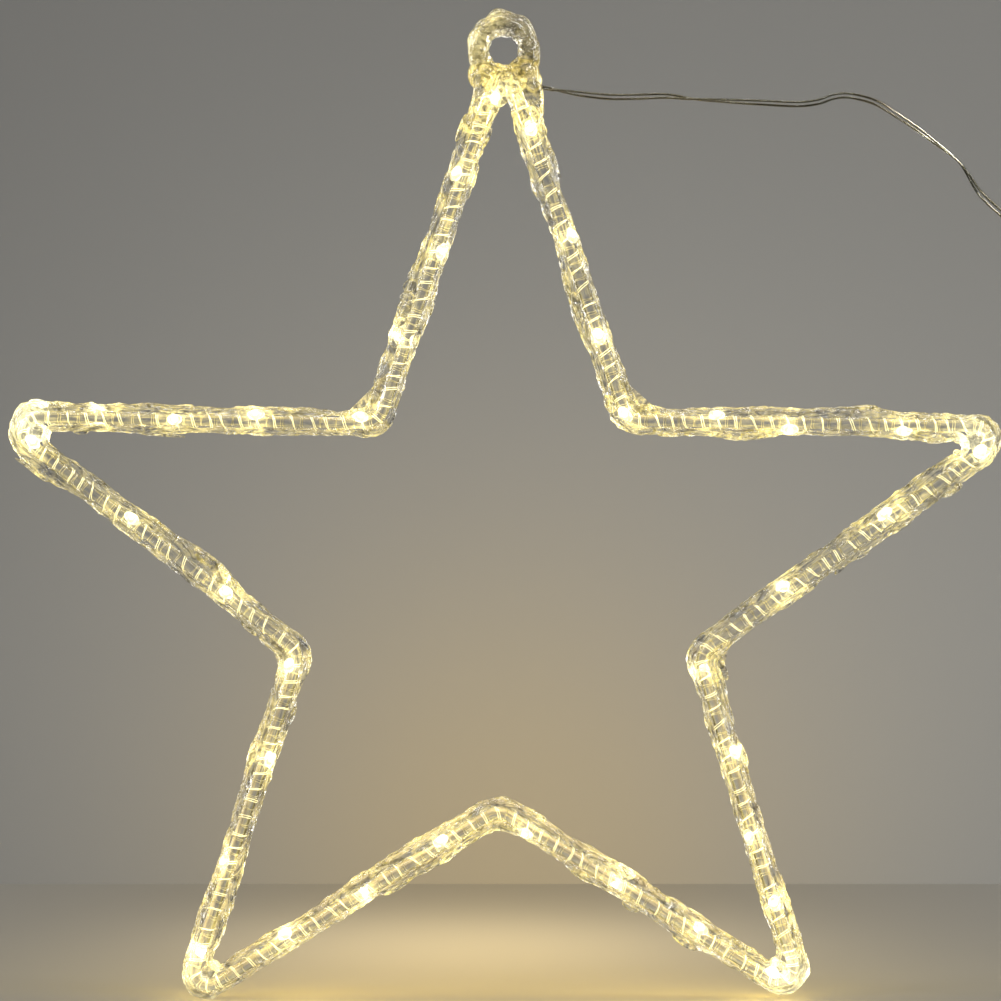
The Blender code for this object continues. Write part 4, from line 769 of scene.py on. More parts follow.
class Outline:
    """A closed outline with rounded corners, measured along its length from the top of the apex."""

    def __init__(self, corners, tip_bend, notch_bend):
        arcs = [corner_arc(corners, i, notch_bend if i % 2 else tip_bend) for i in range(len(corners))]
        top = len(arcs[0]) // 2
        self.points = np.vstack([arcs[0][top:], *arcs[1:], arcs[0][: top + 1]])
        self.run = lengths_along(self.points)
        self.length = self.run[-1]
        ahead = np.roll(self.points[:-1], -1, axis=0) - np.roll(self.points[:-1], 1, axis=0)
        self.ahead = unit(np.vstack([ahead, ahead[:1]]))

    def at(self, run):
        """The places at some lengths along the outline, and the directions along it and outwards."""
        places = np.column_stack([np.interp(run, self.run, self.points[:, k]) for k in (0, 1)])
        ahead = unit(np.column_stack([np.interp(run, self.run, self.ahead[:, k]) for k in (0, 1)]))
        return places, ahead, np.column_stack([ahead[:, 1], -ahead[:, 0]])

    def nearest(self, place):
        """The length along the outline of the point nearest to a place."""
        fine = np.linspace(0, self.length, 8000)
        apart = np.linalg.norm(self.at(fine)[0] - place, axis=1)
        return float(fine[apart.argmin()])


def in_space(flat):
    """Points (x, z) of the star's plane as points in space."""
    return np.column_stack([flat[:, 0], np.zeros(len(flat)), flat[:, 1]])


CORNERS = star_corners()
ROD_LINE = Outline(CORNERS, TIP_BEND, NOTCH_BEND)
BACK = np.array([0.0, 1.0, 0.0])
FOOT_MIDDLE = float(ROD_LINE.points[0][1]) + FOOT_HEIGHT / 2 - ROD_CAD_DIAMETER


def limb_ends(limb):
    return CORNERS[limb], CORNERS[(limb + 1) % len(CORNERS)]


def foot_reach(neighbour):
    """How far the eye's foot reaches along a limb, from the sharp apex towards a neighbouring corner."""
    slope = unit(CORNERS[neighbour] - CORNERS[0])
    return float((FOOT_MIDDLE - FOOT_HEIGHT / 2 - CORNERS[0][1]) / slope[1])


def free_stretch(limb):
    """Where the part of a limb that the eye's foot leaves free starts and ends, along the limb."""
    first, last = limb_ends(limb)
    long = float(np.linalg.norm(last - first))
    start = foot_reach(1) if limb == 0 else 0.0
    return start, long - (foot_reach(limb) if limb == len(CORNERS) - 1 else 0.0)


def limb_place(line, limb, along):
    """The length along a line of a place on a limb, given from the limb's first sharp corner."""
    first, last = limb_ends(limb)
    return line.nearest(first + unit(last - first) * along)


def led_places():
    """Each LED's length along the rod's line and its angle round the rod, in order along the rod."""
    found = []
    for limb, share, angle in LED_PLACE_SHARES:
        start, end = free_stretch(limb)
        found.append((limb_place(ROD_LINE, limb, start + share * (end - start)), math.radians(angle)))
    return sorted(found)


LED_PLACES = led_places()


def round_the_rod(run, turn, radius):
    """Points at angles and a radius round the rod's line, and the directions away from it and along it."""
    places, ahead, outward = ROD_LINE.at(np.atleast_1d(run))
    away = in_space(outward) * np.sin(turn)[:, None] - BACK * np.cos(turn)[:, None]
    return in_space(places) + away * np.asarray(radius).reshape(-1, 1), away, in_space(ahead)


LED_RUNS = np.array([run for run, _ in LED_PLACES])
LED_TURNS = np.array([turn for _, turn in LED_PLACES])
LED_MIDDLES = round_the_rod(LED_RUNS, LED_TURNS, LIGHT_HEIGHT)[0]


def led_light(points, reach):
    """How much painted LED glow reaches points: a narrow bell round each LED, and a wider fall-off, each
    summed.
    """
    near, far = 0.0, 0.0
    for middle in LED_MIDDLES:
        apart = np.linalg.norm(points - middle, axis=1) / MM
        near = near + np.exp(-((apart / reach) ** 2))
        far = far + np.exp(-apart / LIGHT_FAR)
    for x, z, radius, strength in GUIDED_LIGHT:
        apart = np.linalg.norm(points - np.array([x, 0.0, z]) * MM, axis=1) / MM
        near = near + strength * np.exp(-((apart / radius) ** 2))
    return np.clip(near, 0, LIGHT_MOST), np.clip(far, 0, LIGHT_MOST)


def winding_turns():
    """Lengths along the rod, and angles that grow without a break, for the wire's start, LEDs and end."""
    last = len(CORNERS) - 1
    end = limb_place(ROD_LINE, last, free_stretch(last)[1] - WINDING_TAIL)
    knots = [*LED_PLACES, (end, math.radians(WINDING_TAIL_ANGLE))]
    first_run, first_turn = knots[0]
    runs = [first_run - WINDING_LEAD_IN, first_run]
    turns = [first_turn - math.radians(WINDING_LEAD_IN_ANGLE), first_turn]
    for (run, angle), (next_run, next_angle) in zip(knots, knots[1:]):
        part = (next_angle - angle) / math.tau
        whole = max(round((next_run - run) / sizes().winding_pitch - part), 0 if part > 0 else 1)
        runs.append(next_run)
        turns.append(turns[-1] + (whole + part) * math.tau)
    return np.array(runs), np.array(turns)


# Materials


def add(tree, kind, inputs=None, **settings):
    """Adds a shader node. Each input is named or numbered, and is a value or a socket to link."""
    made = tree.nodes.new("ShaderNode" + kind)
    for name, value in settings.items():
        setattr(made, name, value)
    for name, value in (inputs or {}).items():
        if isinstance(value, bpy.types.NodeSocket):
            tree.links.new(value, made.inputs[name])
        else:
            made.inputs[name].default_value = value
    return made


def maths(tree, operation, *values):
    """The result of a Math node."""
    return add(tree, "Math", dict(enumerate(values)), operation=operation).outputs[0]


def ranged(tree, value, low, high, first, last, **settings):
    """A value taken from the range between low and high to the range between first and last."""
    return add(tree, "MapRange", dict(enumerate((value, low, high, first, last))), **settings).outputs[0]


def noise(tree, place, scale, detail, **more):
    """Smooth noise about a place, from 0 to 1."""
    return add(tree, "TexNoise", {"Vector": place, "Scale": scale, "Detail": detail, **more}).outputs[0]


def blend(tree, share, first, last):
    """A colour that turns from the first to the last. Each is three numbers or a socket."""
    ends = [end if isinstance(end, bpy.types.NodeSocket) else rgba(end) for end in (first, last)]
    return add(tree, "Mix", {0: share, 6: ends[0], 7: ends[1]}, data_type="RGBA").outputs[2]


def attribute(tree, name, output="Fac"):
    """What the mesh stores at each point under a name."""
    return add(tree, "Attribute", attribute_name=name).outputs[output]


def own_place(tree):
    """The object's own coordinates, in metres."""
    return add(tree, "TexCoord").outputs["Object"]


def stretched(tree, place, scale):
    """A place times a scale on each axis."""
    return add(tree, "Mapping", {"Vector": place, "Scale": scale}).outputs[0]


def new_material(name):
    """An empty node material, and its tree."""
    made = bpy.data.materials.new(name)
    made.use_nodes = True
    made.node_tree.nodes.clear()
    return made, made.node_tree


def finish_material(made, tree, shader):
    """Joins a shader to the material's output."""
    add(tree, "OutputMaterial", {"Surface": shader})
    return made


def surfaced(made, tree, inputs):
    """Closes a material with one principled surface."""
    return finish_material(made, tree, add(tree, "BsdfPrincipled", inputs).outputs[0])


def clear_acrylic(name, halo, glow, drawn=False, relief=0.3, tint="#ffffff", roughness=0.03, folds=0.8):
    """Cast acrylic, melted and drawn: clear and glossy. Its fold lines are in painted shade or painted LED
    glow.
    """
    made, tree = new_material(name)
    near, far, edge = (attribute(tree, kept) for kept in ("halo", "glow", "edge"))
    place = attribute(tree, "flow", "Vector") if drawn else own_place(tree)
    scales = DRAWN_SCALES if drawn else POOLED_SCALES
    spots, ripples, seams, zones = (stretched(tree, place, scale) for scale in scales)
    # Painted glints: bright spots of emission that stand for the LEDs' light caught in the drawn strands
    bright = ranged(tree, noise(tree, spots, 1.0, 3.0, Roughness=0.6), 0.46, 0.64, 0.06, 2.3)
    # Painted glow: some stretches are painted much brighter than others, as if they caught more of the light
    painted_glow_zone = ranged(tree, noise(tree, zones, 1.0, 1.0), 0.43, 0.58, 0.1, 1.75)
    bright = maths(tree, "MULTIPLY", bright, painted_glow_zone)
    # Fold lines a millimetre or two apart follow a slow noise's levels, in painted shade and painted glow in
    # turn
    level = maths(tree, "MULTIPLY", noise(tree, seams, 1.0, 1.0, Distortion=0.8), FOLD_LEVELS)
    level = maths(tree, "PINGPONG", level, 0.5)
    dark = ranged(tree, level, 0.05, 0.14, 1.0, 0.0)
    light = ranged(tree, level, 0.39, 0.46, 0.0, 1.0)
    # Painted glow: the folds are painted with the far light and nearly half of the near light. The body
    # between them is painted with the rest
    painted_glow_in_folds = maths(tree, "MULTIPLY_ADD", near, 0.45 * halo, maths(tree, "MULTIPLY", far, glow))
    painted_line_glow = maths(tree, "MULTIPLY_ADD", light, 1.6 * folds, bright)
    painted_line_glow = maths(tree, "MULTIPLY", painted_glow_in_folds, painted_line_glow)
    # Painted glow along the rod's two guide lines
    painted_line_glow = maths(tree, "MULTIPLY_ADD", far, edge, painted_line_glow)
    strength = maths(tree, "MULTIPLY_ADD", near, 0.5 * halo, painted_line_glow)
    height = maths(tree, "MULTIPLY_ADD", light, 0.35 * folds, noise(tree, ripples, 1.0, 2.0))
    # Painted shade: the dark fold lines are a darker base colour
    painted_fold_shade = maths(tree, "MULTIPLY", dark, folds)
    bumps = add(tree, "Bump", {"Height": height, "Strength": relief, "Distance": 0.9 * MM}).outputs[0]
    surface = add(
        tree,
        "BsdfPrincipled",
        {
            "Base Color": blend(tree, painted_fold_shade, srgb(tint), srgb("#45413a")),
            "Roughness": roughness,
            "IOR": 1.49,
            "Transmission Weight": 1.0,
            "Emission Color": blend(tree, near, colours().glow, colours().led_light),
            "Emission Strength": strength,
            "Normal": bumps,
        },
    )
    # Lamps and LEDs shine through the clear pieces, so these leave only a faint shadow
    path = add(tree, "LightPath").outputs["Is Shadow Ray"]
    through = add(tree, "BsdfTransparent", {"Color": (0.86, 0.86, 0.84, 1.0)})
    shown = add(tree, "MixShader", {0: path, 1: surface.outputs[0], 2: through.outputs[0]})
    return finish_material(made, tree, shown.outputs[0])


def lacquered_wire():
    """Silvered copper under clear lacquer: bright metal, with the LEDs' light along every turn as painted
    glow.
    """
    made, tree = new_material("lacquered_silver_wire")
    near, far = (attribute(tree, kept) for kept in ("halo", "glow"))
    place = own_place(tree)
    # Painted glints about 1.5 mm long
    shine = ranged(tree, noise(tree, place, 650.0, 1.0), 0.4, 0.6, 0.7, 1.25)
    # The LEDs sit on the star's front, so the turns' front halves are painted with most of the light and
    # their back halves in painted shade
    depth = add(tree, "SeparateXYZ", {0: place}).outputs[1]
    front = ranged(tree, depth, 1.5 * MM, -2.0 * MM, 0.07, 1.0)
    lit = maths(tree, "MULTIPLY", maths(tree, "ADD", far, shine), front)
    inputs = {
        "Base Color": rgba(colours().wire),
        "Metallic": 1.0,
        "Roughness": 0.3,
        "Coat Weight": 0.6,
        "Emission Color": rgba(srgb("#fff2ab")),
        "Emission Strength": maths(tree, "MULTIPLY_ADD", near, 1.2, lit),
    }
    return surfaced(made, tree, inputs)


def lit_resin():
    """A drop of clear epoxy over a lit chip: white over the chip, pale yellow towards the drop's ends."""
    made, tree = new_material("lit_epoxy_drop")
    chip = attribute(tree, "chip")
    soft = ranged(tree, noise(tree, own_place(tree), 900.0, 1.0), 0.3, 0.7, 0.7, 1.2)
    strength = ranged(tree, chip, 0.1, 1.0, 1.0, 11.0)
    inputs = {
        "Base Color": rgba(srgb("#fff6d8")),
        "Roughness": 0.12,
        "IOR": 1.55,
        "Emission Color": blend(tree, chip, srgb("#ffe794"), srgb("#fff3cf")),
        "Emission Strength": maths(tree, "MULTIPLY", strength, soft),
    }
    return surfaced(made, tree, inputs)


def clear_sheath():
    """Soft clear PVC insulation, extruded over the core: glossy, faintly smoky, with a slight haze."""
    made, tree = new_material("clear_pvc_sheath")
    haze = noise(tree, own_place(tree), 180.0, 2.0)
    inputs = {
        "Base Color": rgba(srgb("#bab8aa")),
        "Roughness": ranged(tree, haze, 0.0, 1.0, 0.05, 0.16),
        "IOR": 1.53,
        "Transmission Weight": 1.0,
    }
    return surfaced(made, tree, inputs)


def tinned_core():
    """Stranded tinned copper: dull grey metal with fine lay lines."""
    made, tree = new_material("tinned_copper_core")
    lay = noise(tree, own_place(tree), 420.0, 2.0)
    inputs = {
        "Base Color": blend(tree, lay, srgb("#66645a"), colours().core),
        "Metallic": 0.95,
        "Roughness": ranged(tree, lay, 0.0, 1.0, 0.08, 0.2),
    }
    return surfaced(made, tree, inputs)


def moulded(name, colour, roughness):
    """Moulded plastic with a spark-eroded texture: soft sheen and a grain of about a millimetre."""
    made, tree = new_material(name)
    place = own_place(tree)
    grain = noise(tree, place, 1 / (0.9 * MM), 4.0)
    darker = [part * 0.93 for part in colour]
    paler = [min(1, part * 1.03) for part in colour]
    inputs = {
        "Base Color": blend(tree, noise(tree, place, 45.0, 2.0), darker, paler),
        "Roughness": ranged(tree, grain, 0.0, 1.0, roughness - 0.08, roughness + 0.08),
        "IOR": 1.53,
        "Normal": add(tree, "Bump", {"Height": grain, "Strength": 0.5, "Distance": 0.02 * MM}).outputs[0],
    }
    return surfaced(made, tree, inputs)


def nickel_plate():
    """Nickelled spring steel: bright, with fine drawing lines and slight smears."""
    made, tree = new_material("nickelled_steel")
    lines = noise(tree, stretched(tree, own_place(tree), (60.0, 900.0, 900.0)), 1.0, 3.0)
    inputs = {
        "Base Color": rgba(srgb("#c9c6bd")),
        "Metallic": 1.0,
        "Roughness": ranged(tree, lines, 0.0, 1.0, 0.2, 0.38),
        "Normal": add(tree, "Bump", {"Height": lines, "Strength": 0.25, "Distance": 0.01 * MM}).outputs[0],
    }
    return surfaced(made, tree, inputs)


def cell_wrap(name, positive, way):
    """A cell's shrink sleeve: dark body, copper band at its positive end, bare steel nub and base."""
    made, tree = new_material(name)
    place = own_place(tree)
    along = add(tree, "SeparateXYZ", {0: place}).outputs[0]
    far_end = positive + way * CELL_LENGTH * MM
    from_nub = ranged(tree, along, positive, far_end, 0.0, CELL_LENGTH, clamp=False)
    in_body = maths(tree, "GREATER_THAN", from_nub, CELL_NUB)
    in_band = maths(tree, "LESS_THAN", from_nub, CELL_BAND_END)
    wrapped = maths(tree, "MULTIPLY", in_body, maths(tree, "LESS_THAN", from_nub, CELL_WRAP_END))
    grain = noise(tree, place, 260.0, 2.0)
    body = blend(tree, grain, srgb("#23262b"), srgb("#2f3339"))
    banded = blend(tree, in_band, body, srgb("#b87a3f"))
    inputs = {
        "Base Color": blend(tree, wrapped, srgb("#c4c1b9"), banded),
        "Metallic": maths(tree, "SUBTRACT", 1.0, wrapped),
        "Roughness": ranged(tree, grain, 0.0, 1.0, 0.22, 0.34),
    }
    return surfaced(made, tree, inputs)


def solder_mask(board_top):
    """A printed board under green solder mask, with pale copper tracks, and its black moulded chip."""
    made, tree = new_material("solder_mask_board")
    place = own_place(tree)
    tracks = {"Vector": stretched(tree, place, (420.0, 420.0, 420.0)), "Mortar Size": 0.06}
    for part, code in (("Color1", "#1d5a34"), ("Color2", "#1a5230"), ("Mortar", "#3f8d55")):
        tracks[part] = rgba(srgb(code))
    cells = add(tree, "TexBrick", tracks).outputs[0]
    high = maths(tree, "GREATER_THAN", add(tree, "SeparateXYZ", {0: place}).outputs[2], board_top)
    inputs = {
        "Base Color": blend(tree, high, cells, srgb("#17181a")),
        "Roughness": ranged(tree, high, 0.0, 1.0, 0.25, 0.55),
    }
    return surfaced(made, tree, inputs)


# Pieces


class STAR_OT_camera(bpy.types.Operator):
    """Place the camera level with the star's middle, at the photograph's distance"""

    bl_idname = "star.camera"
    bl_label = "Camera"

    def execute(self, context):
        lens = bpy.data.cameras.new("camera")
        lens.sensor_width = SENSOR_WIDTH
        lens.lens = SENSOR_WIDTH * CAMERA_DISTANCE / VIEW_WIDTH
        made = bpy.data.objects.new("camera", lens)
        context.scene.collection.objects.link(made)
        made.location = (VIEW_MIDDLE[0], -CAMERA_DISTANCE, VIEW_MIDDLE[1])
        made.rotation_euler = (math.pi / 2, 0.0, 0.0)
        context.scene.camera = made
        return {"FINISHED"}


class STAR_OT_lead(bpy.types.Operator):
    """Make the lead: two clear insulated wires laid loosely together, with a core in each"""

    bl_idname = "star.lead"
    bl_label = "Lead"

    def execute(self, context):
        route = smooth_route(np.array(LEAD_ROUTE) * MM, LEAD_STEP)
        ahead = unit(np.gradient(route, axis=0))
        side = unit(np.cross(ahead, BACK))
        up = np.cross(side, ahead)
        run = lengths_along(route)
        knots = np.interp(np.array(LEAD_CROSSINGS) * MM, np.maximum.accumulate(route[:, 0]), run)
        knots = np.concatenate([knots, [run[-1]]])
        turn = np.interp(run, knots, math.pi * (np.arange(len(knots)) + 0.5))
        turn = np.where(run < knots[0], math.pi / 2 * run / knots[0], turn)
        # The wires lie side by side for most of the way and cross quickly
        turn = turn - 0.4 * np.sin(2 * turn)
        spread = (LEAD_ROOM * LEAD_DIAMETER - sizes().sheath_diameter) / 2
        # They close up where they enter the sleeve and the grommet
        from_start, from_end = (np.clip(far / LEAD_SETTLE, LEAD_CLOSED, 1.0) for far in (run, run[-1] - run))
        settle = from_start * from_end
        apart = (side * np.cos(turn)[:, None] + up * np.sin(turn)[:, None]) * (spread * settle)[:, None]
        radius = sizes().sheath_diameter / 2
        slim = sizes().core_diameter / 2
        cores = [tube(route + way * apart, side, up, slim, slim, CORE_SIDES) for way in (-1, 1)]
        core = piece("lead_cores", cores, tinned_core(), glow=False)
        wires = [tube(route + way * apart, side, up, radius, radius, SHEATH_SIDES) for way in (-1, 1)]
        lead = piece("lead_wires", wires, clear_sheath(), replaces=["lead"], glow=False)
        return {"FINISHED"}


def between(first, last, start, end, time):
    """Where the straight way from first at a start to last at an end has got to at a time."""
    return ((end - time) * first + (time - start) * last) / (end - start)


def smooth_route(places, step):
    """Points a step apart on the smooth curve through the places (centripetal Catmull-Rom)."""
    padded = np.vstack([2 * places[0] - places[1], places, 2 * places[-1] - places[-2]])
    fine = []
    for p0, p1, p2, p3 in zip(padded, padded[1:], padded[2:], padded[3:]):
        gaps = [math.sqrt(np.linalg.norm(b - a)) for a, b in ((p0, p1), (p1, p2), (p2, p3))]
        knots = np.cumsum([0.0, *gaps])
        t = np.linspace(knots[1], knots[2], CURVE_STEPS, endpoint=False)[:, None]
        a1 = between(p0, p1, knots[0], knots[1], t)
        a2 = between(p1, p2, knots[1], knots[2], t)
        a3 = between(p2, p3, knots[2], knots[3], t)
        b1 = between(a1, a2, knots[0], knots[2], t)
        b2 = between(a2, a3, knots[1], knots[3], t)
        fine.append(between(b1, b2, knots[1], knots[2], t))
    fine = np.vstack([*fine, places[-1:]])
    run = lengths_along(fine)
    wanted = np.linspace(0.0, run[-1], max(2, round(run[-1] / step) + 1))
    return np.column_stack([np.interp(wanted, run, fine[:, axis]) for axis in range(3)])


class STAR_OT_rod(bpy.types.Operator):
    """Make the bent clear rod: a circle carried along the star's rounded outline"""

    bl_idname = "star.rod"
    bl_label = "Rod"

    def execute(self, context):
        fine = np.linspace(ROD_GAP / 2, ROD_LINE.length - ROD_GAP / 2, ROD_RINGS)
        places, _, outward = ROD_LINE.at(fine)
        up = np.tile(BACK, (len(fine), 1))
        radius = sizes().rod_diameter / 2
        points, quads, fans = tube(in_space(places), in_space(outward), up, radius, radius, ROD_SIDES)
        side = np.arange(ROD_SIDES) * math.tau / ROD_SIDES
        around = np.tile(side * radius, len(fine))
        along = np.repeat(fine, ROD_SIDES)
        flow = np.column_stack([along, around, np.zeros(len(along))])
        flow = np.vstack([flow, flow[0], flow[-1]])
        finish = clear_acrylic("drawn_acrylic_rod", halo=0.36, glow=0.3, drawn=True, relief=0.05, folds=0.2)
        # Painted glow: the light that the rod guides is painted along two lines on its front, and fainter
        # behind
        lines = np.exp(-((np.abs(np.cos(side)) - GUIDE_PLACE) / GUIDE_WIDTH) ** 2)
        lines = lines * np.where(np.sin(side) < 0, GUIDE_FRONT, GUIDE_BACK)
        rod_piece = piece(
            "acrylic_rod",
            [(np.hstack([points, flow]), quads, fans)],
            finish,
            replaces=["star_rod"],
        )
        keep(rod_piece.data, "edge", [*np.tile(lines, len(fine)), 0.0, 0.0])
        return {"FINISHED"}


class STAR_OT_winding(bpy.types.Operator):
    """Wind the twin wire: two helices side by side, their angle growing with the length along the rod"""

    bl_idname = "star.winding"
    bl_label = "Wound wire"

    def execute(self, context):
        knot_runs, knot_turns = winding_turns()
        curls = (knot_turns[-1] - knot_turns[0]) / math.tau
        turn = np.linspace(knot_turns[0], knot_turns[-1], round(curls * TURN_POINTS) + 1)
        run = np.interp(turn, knot_turns, knot_runs)
        # Hand-guided turns crowd and spread between the LEDs and are true at each LED
        number = np.interp(turn, knot_turns, np.arange(len(knot_turns)))
        free = np.sin(math.pi * (number % 1.0)) ** 2
        run = run + free * sum(much * np.sin(often * turn + phase) for much, often, phase in WINDING_CROWDS)
        # Each turn lies steeper across the front, where the hand lays it, than across the back
        run = run - free**0.3 * WINDING_LEAN * np.sin(turn)
        centres, away, _ = round_the_rod(run, turn, WIRE_RADIUS)
        tail = sleeve_end()
        rise = np.linspace(0, 1, TAIL_POINTS)[1:, None]
        bow = np.sin(math.pi * rise) * BACK * TAIL_BOW
        centres = np.vstack([centres, centres[-1] + (tail - centres[-1]) * rise + bow])
        away = np.vstack([away, np.tile(BACK, (len(rise), 1))])
        ahead = unit(np.gradient(centres, axis=0))
        across = unit(np.cross(away, ahead))
        up = np.cross(ahead, across)
        radius = sizes().wire_diameter / 2
        # The two wires roll to and fro about each other, so that the gap between them opens and closes
        roll = np.cumsum(np.linalg.norm(np.gradient(centres, axis=0), axis=1)) / ROLL_LENGTH
        roll = ROLL_ANGLE * np.sin(roll + ROLL_WANDER[0] * np.sin(ROLL_WANDER[1] * roll))[:, None]
        apart = (across * np.cos(roll) + up * np.sin(roll)) * sizes().wire_spacing / 2
        pair = [tube(centres + apart * way, across, up, radius, radius, WIRE_SIDES) for way in (-1, 1)]
        piece("wound_twin_wire", pair, lacquered_wire(), replaces=["light_wire"])
        print(f"winding: {curls:.1f} turns")
        return {"FINISHED"}


def sleeve_end():
    """The middle of the splice sleeve's left end."""
    low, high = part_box("splice_sleeve")
    return np.array([low[0], (low[1] + high[1]) / 2, (low[2] + high[2]) / 2])


def led_frames():
    """Each LED's middle and its directions along the wire, across it and away from the rod."""
    knot_runs, knot_turns = winding_turns()
    small = math.radians(4)
    near = np.concatenate([knot_turns[1:-1] - small, knot_turns[1:-1] + small])
    line, _, _ = round_the_rod(np.interp(near, knot_turns, knot_runs), near, WIRE_RADIUS)
    half = len(near) // 2
    middles, away, _ = round_the_rod(knot_runs[1:-1], knot_turns[1:-1], 0.0)
    along = line[half:] - line[:half]
    along = unit(along - away * (along * away).sum(axis=1)[:, None])
    return middles, along, np.cross(away, along), away


class STAR_OT_leds(bpy.types.Operator):
    """Make the lit resin drops: half-flattened ellipsoids set along the wire"""

    bl_idname = "star.leds"
    bl_label = "LEDs"

    def execute(self, context):
        points, quads, fans = ball(*DROP_GRID)
        x, y, z = points.T
        long = sizes().led_length / 2 * x * (1 - LED_TAPER * z)
        wide = sizes().led_width / 2 * y
        high = LED_HEIGHT + np.where(z > 0, LED_RISE, LED_FALL) * z
        middles, along, across, away = led_frames()
        finish = lit_resin()
        chip = np.exp(-((x / CHIP_SPREADS[0]) ** 2) - (y / CHIP_SPREADS[1]) ** 2)
        for index, name in enumerate(LED_NAMES):
            placed = middles[index] + np.outer(long, along[index]) + np.outer(wide, across[index])
            placed = placed + np.outer(high, away[index])
            drops = [(placed, quads, fans)]
            drop_name = name.replace("led_", "led_drop_")
            drop = piece(drop_name, drops, finish, replaces=[name], glow=False)
            keep(drop.data, "chip", chip)
        return {"FINISHED"}


def table_shares(line, runs, limb_shares, corner_shares):
    """A coat's thickness at lengths along its line: its limbs' shares at even places, smoothed."""
    knots, values = [], []
    for limb, shares in enumerate(limb_shares):
        first, last = limb_ends(limb)
        knots.append(line.nearest(first) if limb else 0.0)
        values.append(corner_shares[limb % 2])
        for number, share in enumerate(shares, start=1):
            knots.append(line.nearest(first + (last - first) * number / (len(shares) + 1)))
            values.append(share)
    order = np.argsort(knots)
    return smoothed(np.interp(runs, np.array(knots)[order], np.array(values)[order]), COAT_SMOOTHING, "edge")


def waves(random, count, shortest, longest, angle_most):
    """Random plane waves over length and angle: (wave numbers along, round, phases)."""
    lengths = np.exp(random.uniform(math.log(shortest), math.log(longest), count))
    around = random.uniform(-angle_most, angle_most, count)
    return math.tau / lengths, around, random.uniform(0, math.tau, count)


def ripple(run, angle, bank):
    """The sum of a bank of plane waves on a grid of length and angle, about one deep."""
    total = 0.0
    for along, around, phase in zip(*bank):
        total = total + np.sin(along * run + around * angle + phase)
    return total / math.sqrt(len(bank[0]))


def coat_band(outward_side, limb_shares, corner_shares, random):
    """A crescent carried along the rod's outer (+1) or inner (-1) edge.

    Its section goes out at radius seat + thickness * cos(pi s / 2) + folds, for s from -1 to 1 over the
    band's half angle, and comes back along the wound wire at the seat's radius.
    """
    reach = SEAT_RADIUS + COAT_THICKNESS / 2
    if outward_side > 0:
        line = Outline(offset_corners(CORNERS, reach), TIP_BEND + reach, NOTCH_BEND - reach)
    else:
        line = Outline(offset_corners(CORNERS, -reach), INNER_TIP_BEND, NOTCH_BEND + reach)
    start = limb_place(line, 0, foot_reach(1) + COAT_START)
    last = len(CORNERS) - 1
    end = limb_place(line, last, free_stretch(last)[1] - COAT_START)
    runs = np.linspace(start, end, round((end - start) / COAT_STEP) + 1)
    places, _, outward = line.at(runs)
    lump = table_shares(line, runs, limb_shares, corner_shares)
    run = runs[:, None]
    share = np.linspace(-1, 1, COAT_SIDES // 2)[None]
    swell = np.radians(BAND_ANGLE_WAVES) * ripple(run, 0.0, waves(random, *BAND_WIDTHS))
    gain = np.radians(BAND_ANGLE_GAIN) * (lump[:, None] - BAND_EVEN_SHARE)
    width = np.radians(BAND_ANGLE) + swell + gain
    width = np.clip(width, np.radians(BAND_ANGLE_LEAST), np.radians(BAND_ANGLE_MOST))
    sway = np.radians(BAND_SWAY) * ripple(run, 0.0, waves(random, *BAND_SWAYS))
    angle = width * share + sway
    folds = ripple(run, angle, waves(random, *BAND_FOLDS))
    along, around, phase = waves(random, *BAND_RIDGES)
    ridges = (along, np.sign(around) * (8.0 + 11.0 * np.abs(around)), phase)
    fine = ripple(run, angle, ridges)
    body = COAT_THICKNESS * lump[:, None] * np.cos(math.pi / 2 * share) ** 0.6
    fade = np.cos(math.pi / 2 * share) ** 0.5
    ends = np.clip(np.minimum(run - start, end - run) / COAT_TAPER, 0.0, 1.0) ** 0.5
    outer = SEAT_RADIUS + COAT_LIFT + (body + fade * (FOLD_HEIGHT * folds + RIDGE_HEIGHT * fine)) * ends
    outer = np.maximum(outer, SEAT_RADIUS + COAT_LEAST)
    inner = np.full_like(outer, SEAT_RADIUS - COAT_LIFT) + SEAT_RIPPLE * fine
    radius = np.concatenate([outer, inner[:, ::-1]], axis=1)
    turned = np.concatenate([angle, angle[:, ::-1]], axis=1)
    away = in_space(outward * outward_side)
    middle = in_space(places) - away * reach
    rings = (
        middle[:, None]
        + away[:, None] * (radius * np.cos(turned))[:, :, None]
        + BACK[None, None] * (radius * np.sin(turned))[:, :, None]
    )
    flow = np.stack([np.broadcast_to(run, radius.shape), turned * reach, radius], axis=-1)
    return carried(np.concatenate([rings, flow], axis=-1))


def limb_spot(limb, share, outwards, back=0.0):
    """A place beside a limb's line, with the directions along the limb and outwards."""
    first, last = limb_ends(limb)
    ahead = unit(last - first)
    outward = np.array([ahead[1], -ahead[0]])
    flat = first + (last - first) * share + outward * outwards
    return in_space(flat[None])[0] + BACK * back, in_space(ahead[None])[0], in_space(outward[None])[0]


def corner_sides(corner):
    """A corner, and the directions from it along the limbs before and after it."""
    middle = CORNERS[corner]
    return middle, unit(CORNERS[corner - 1] - middle), unit(CORNERS[(corner + 1) % len(CORNERS)] - middle)


def lumpy_ball(shape, middle, axes, halves, lump, random):
    """A ball stretched along three axes, its radius times 1 + lump * a sum of waves over the ball."""
    points, quads, fans = shape
    tilt = np.arccos(np.clip(points[:, 2], -1, 1))
    turn = np.arctan2(points[:, 1], points[:, 0])
    bank = random.uniform(2.0, 5.0, 4), np.array([1.0, 2.0, 3.0, 2.0]), random.uniform(0, math.tau, 4)
    grown = 1 + lump * np.sin(tilt) * ripple(tilt, turn, bank)
    placed = middle + sum(np.outer(points[:, k] * halves[k] * grown, axes[k]) for k in range(3))
    return placed, quads, fans


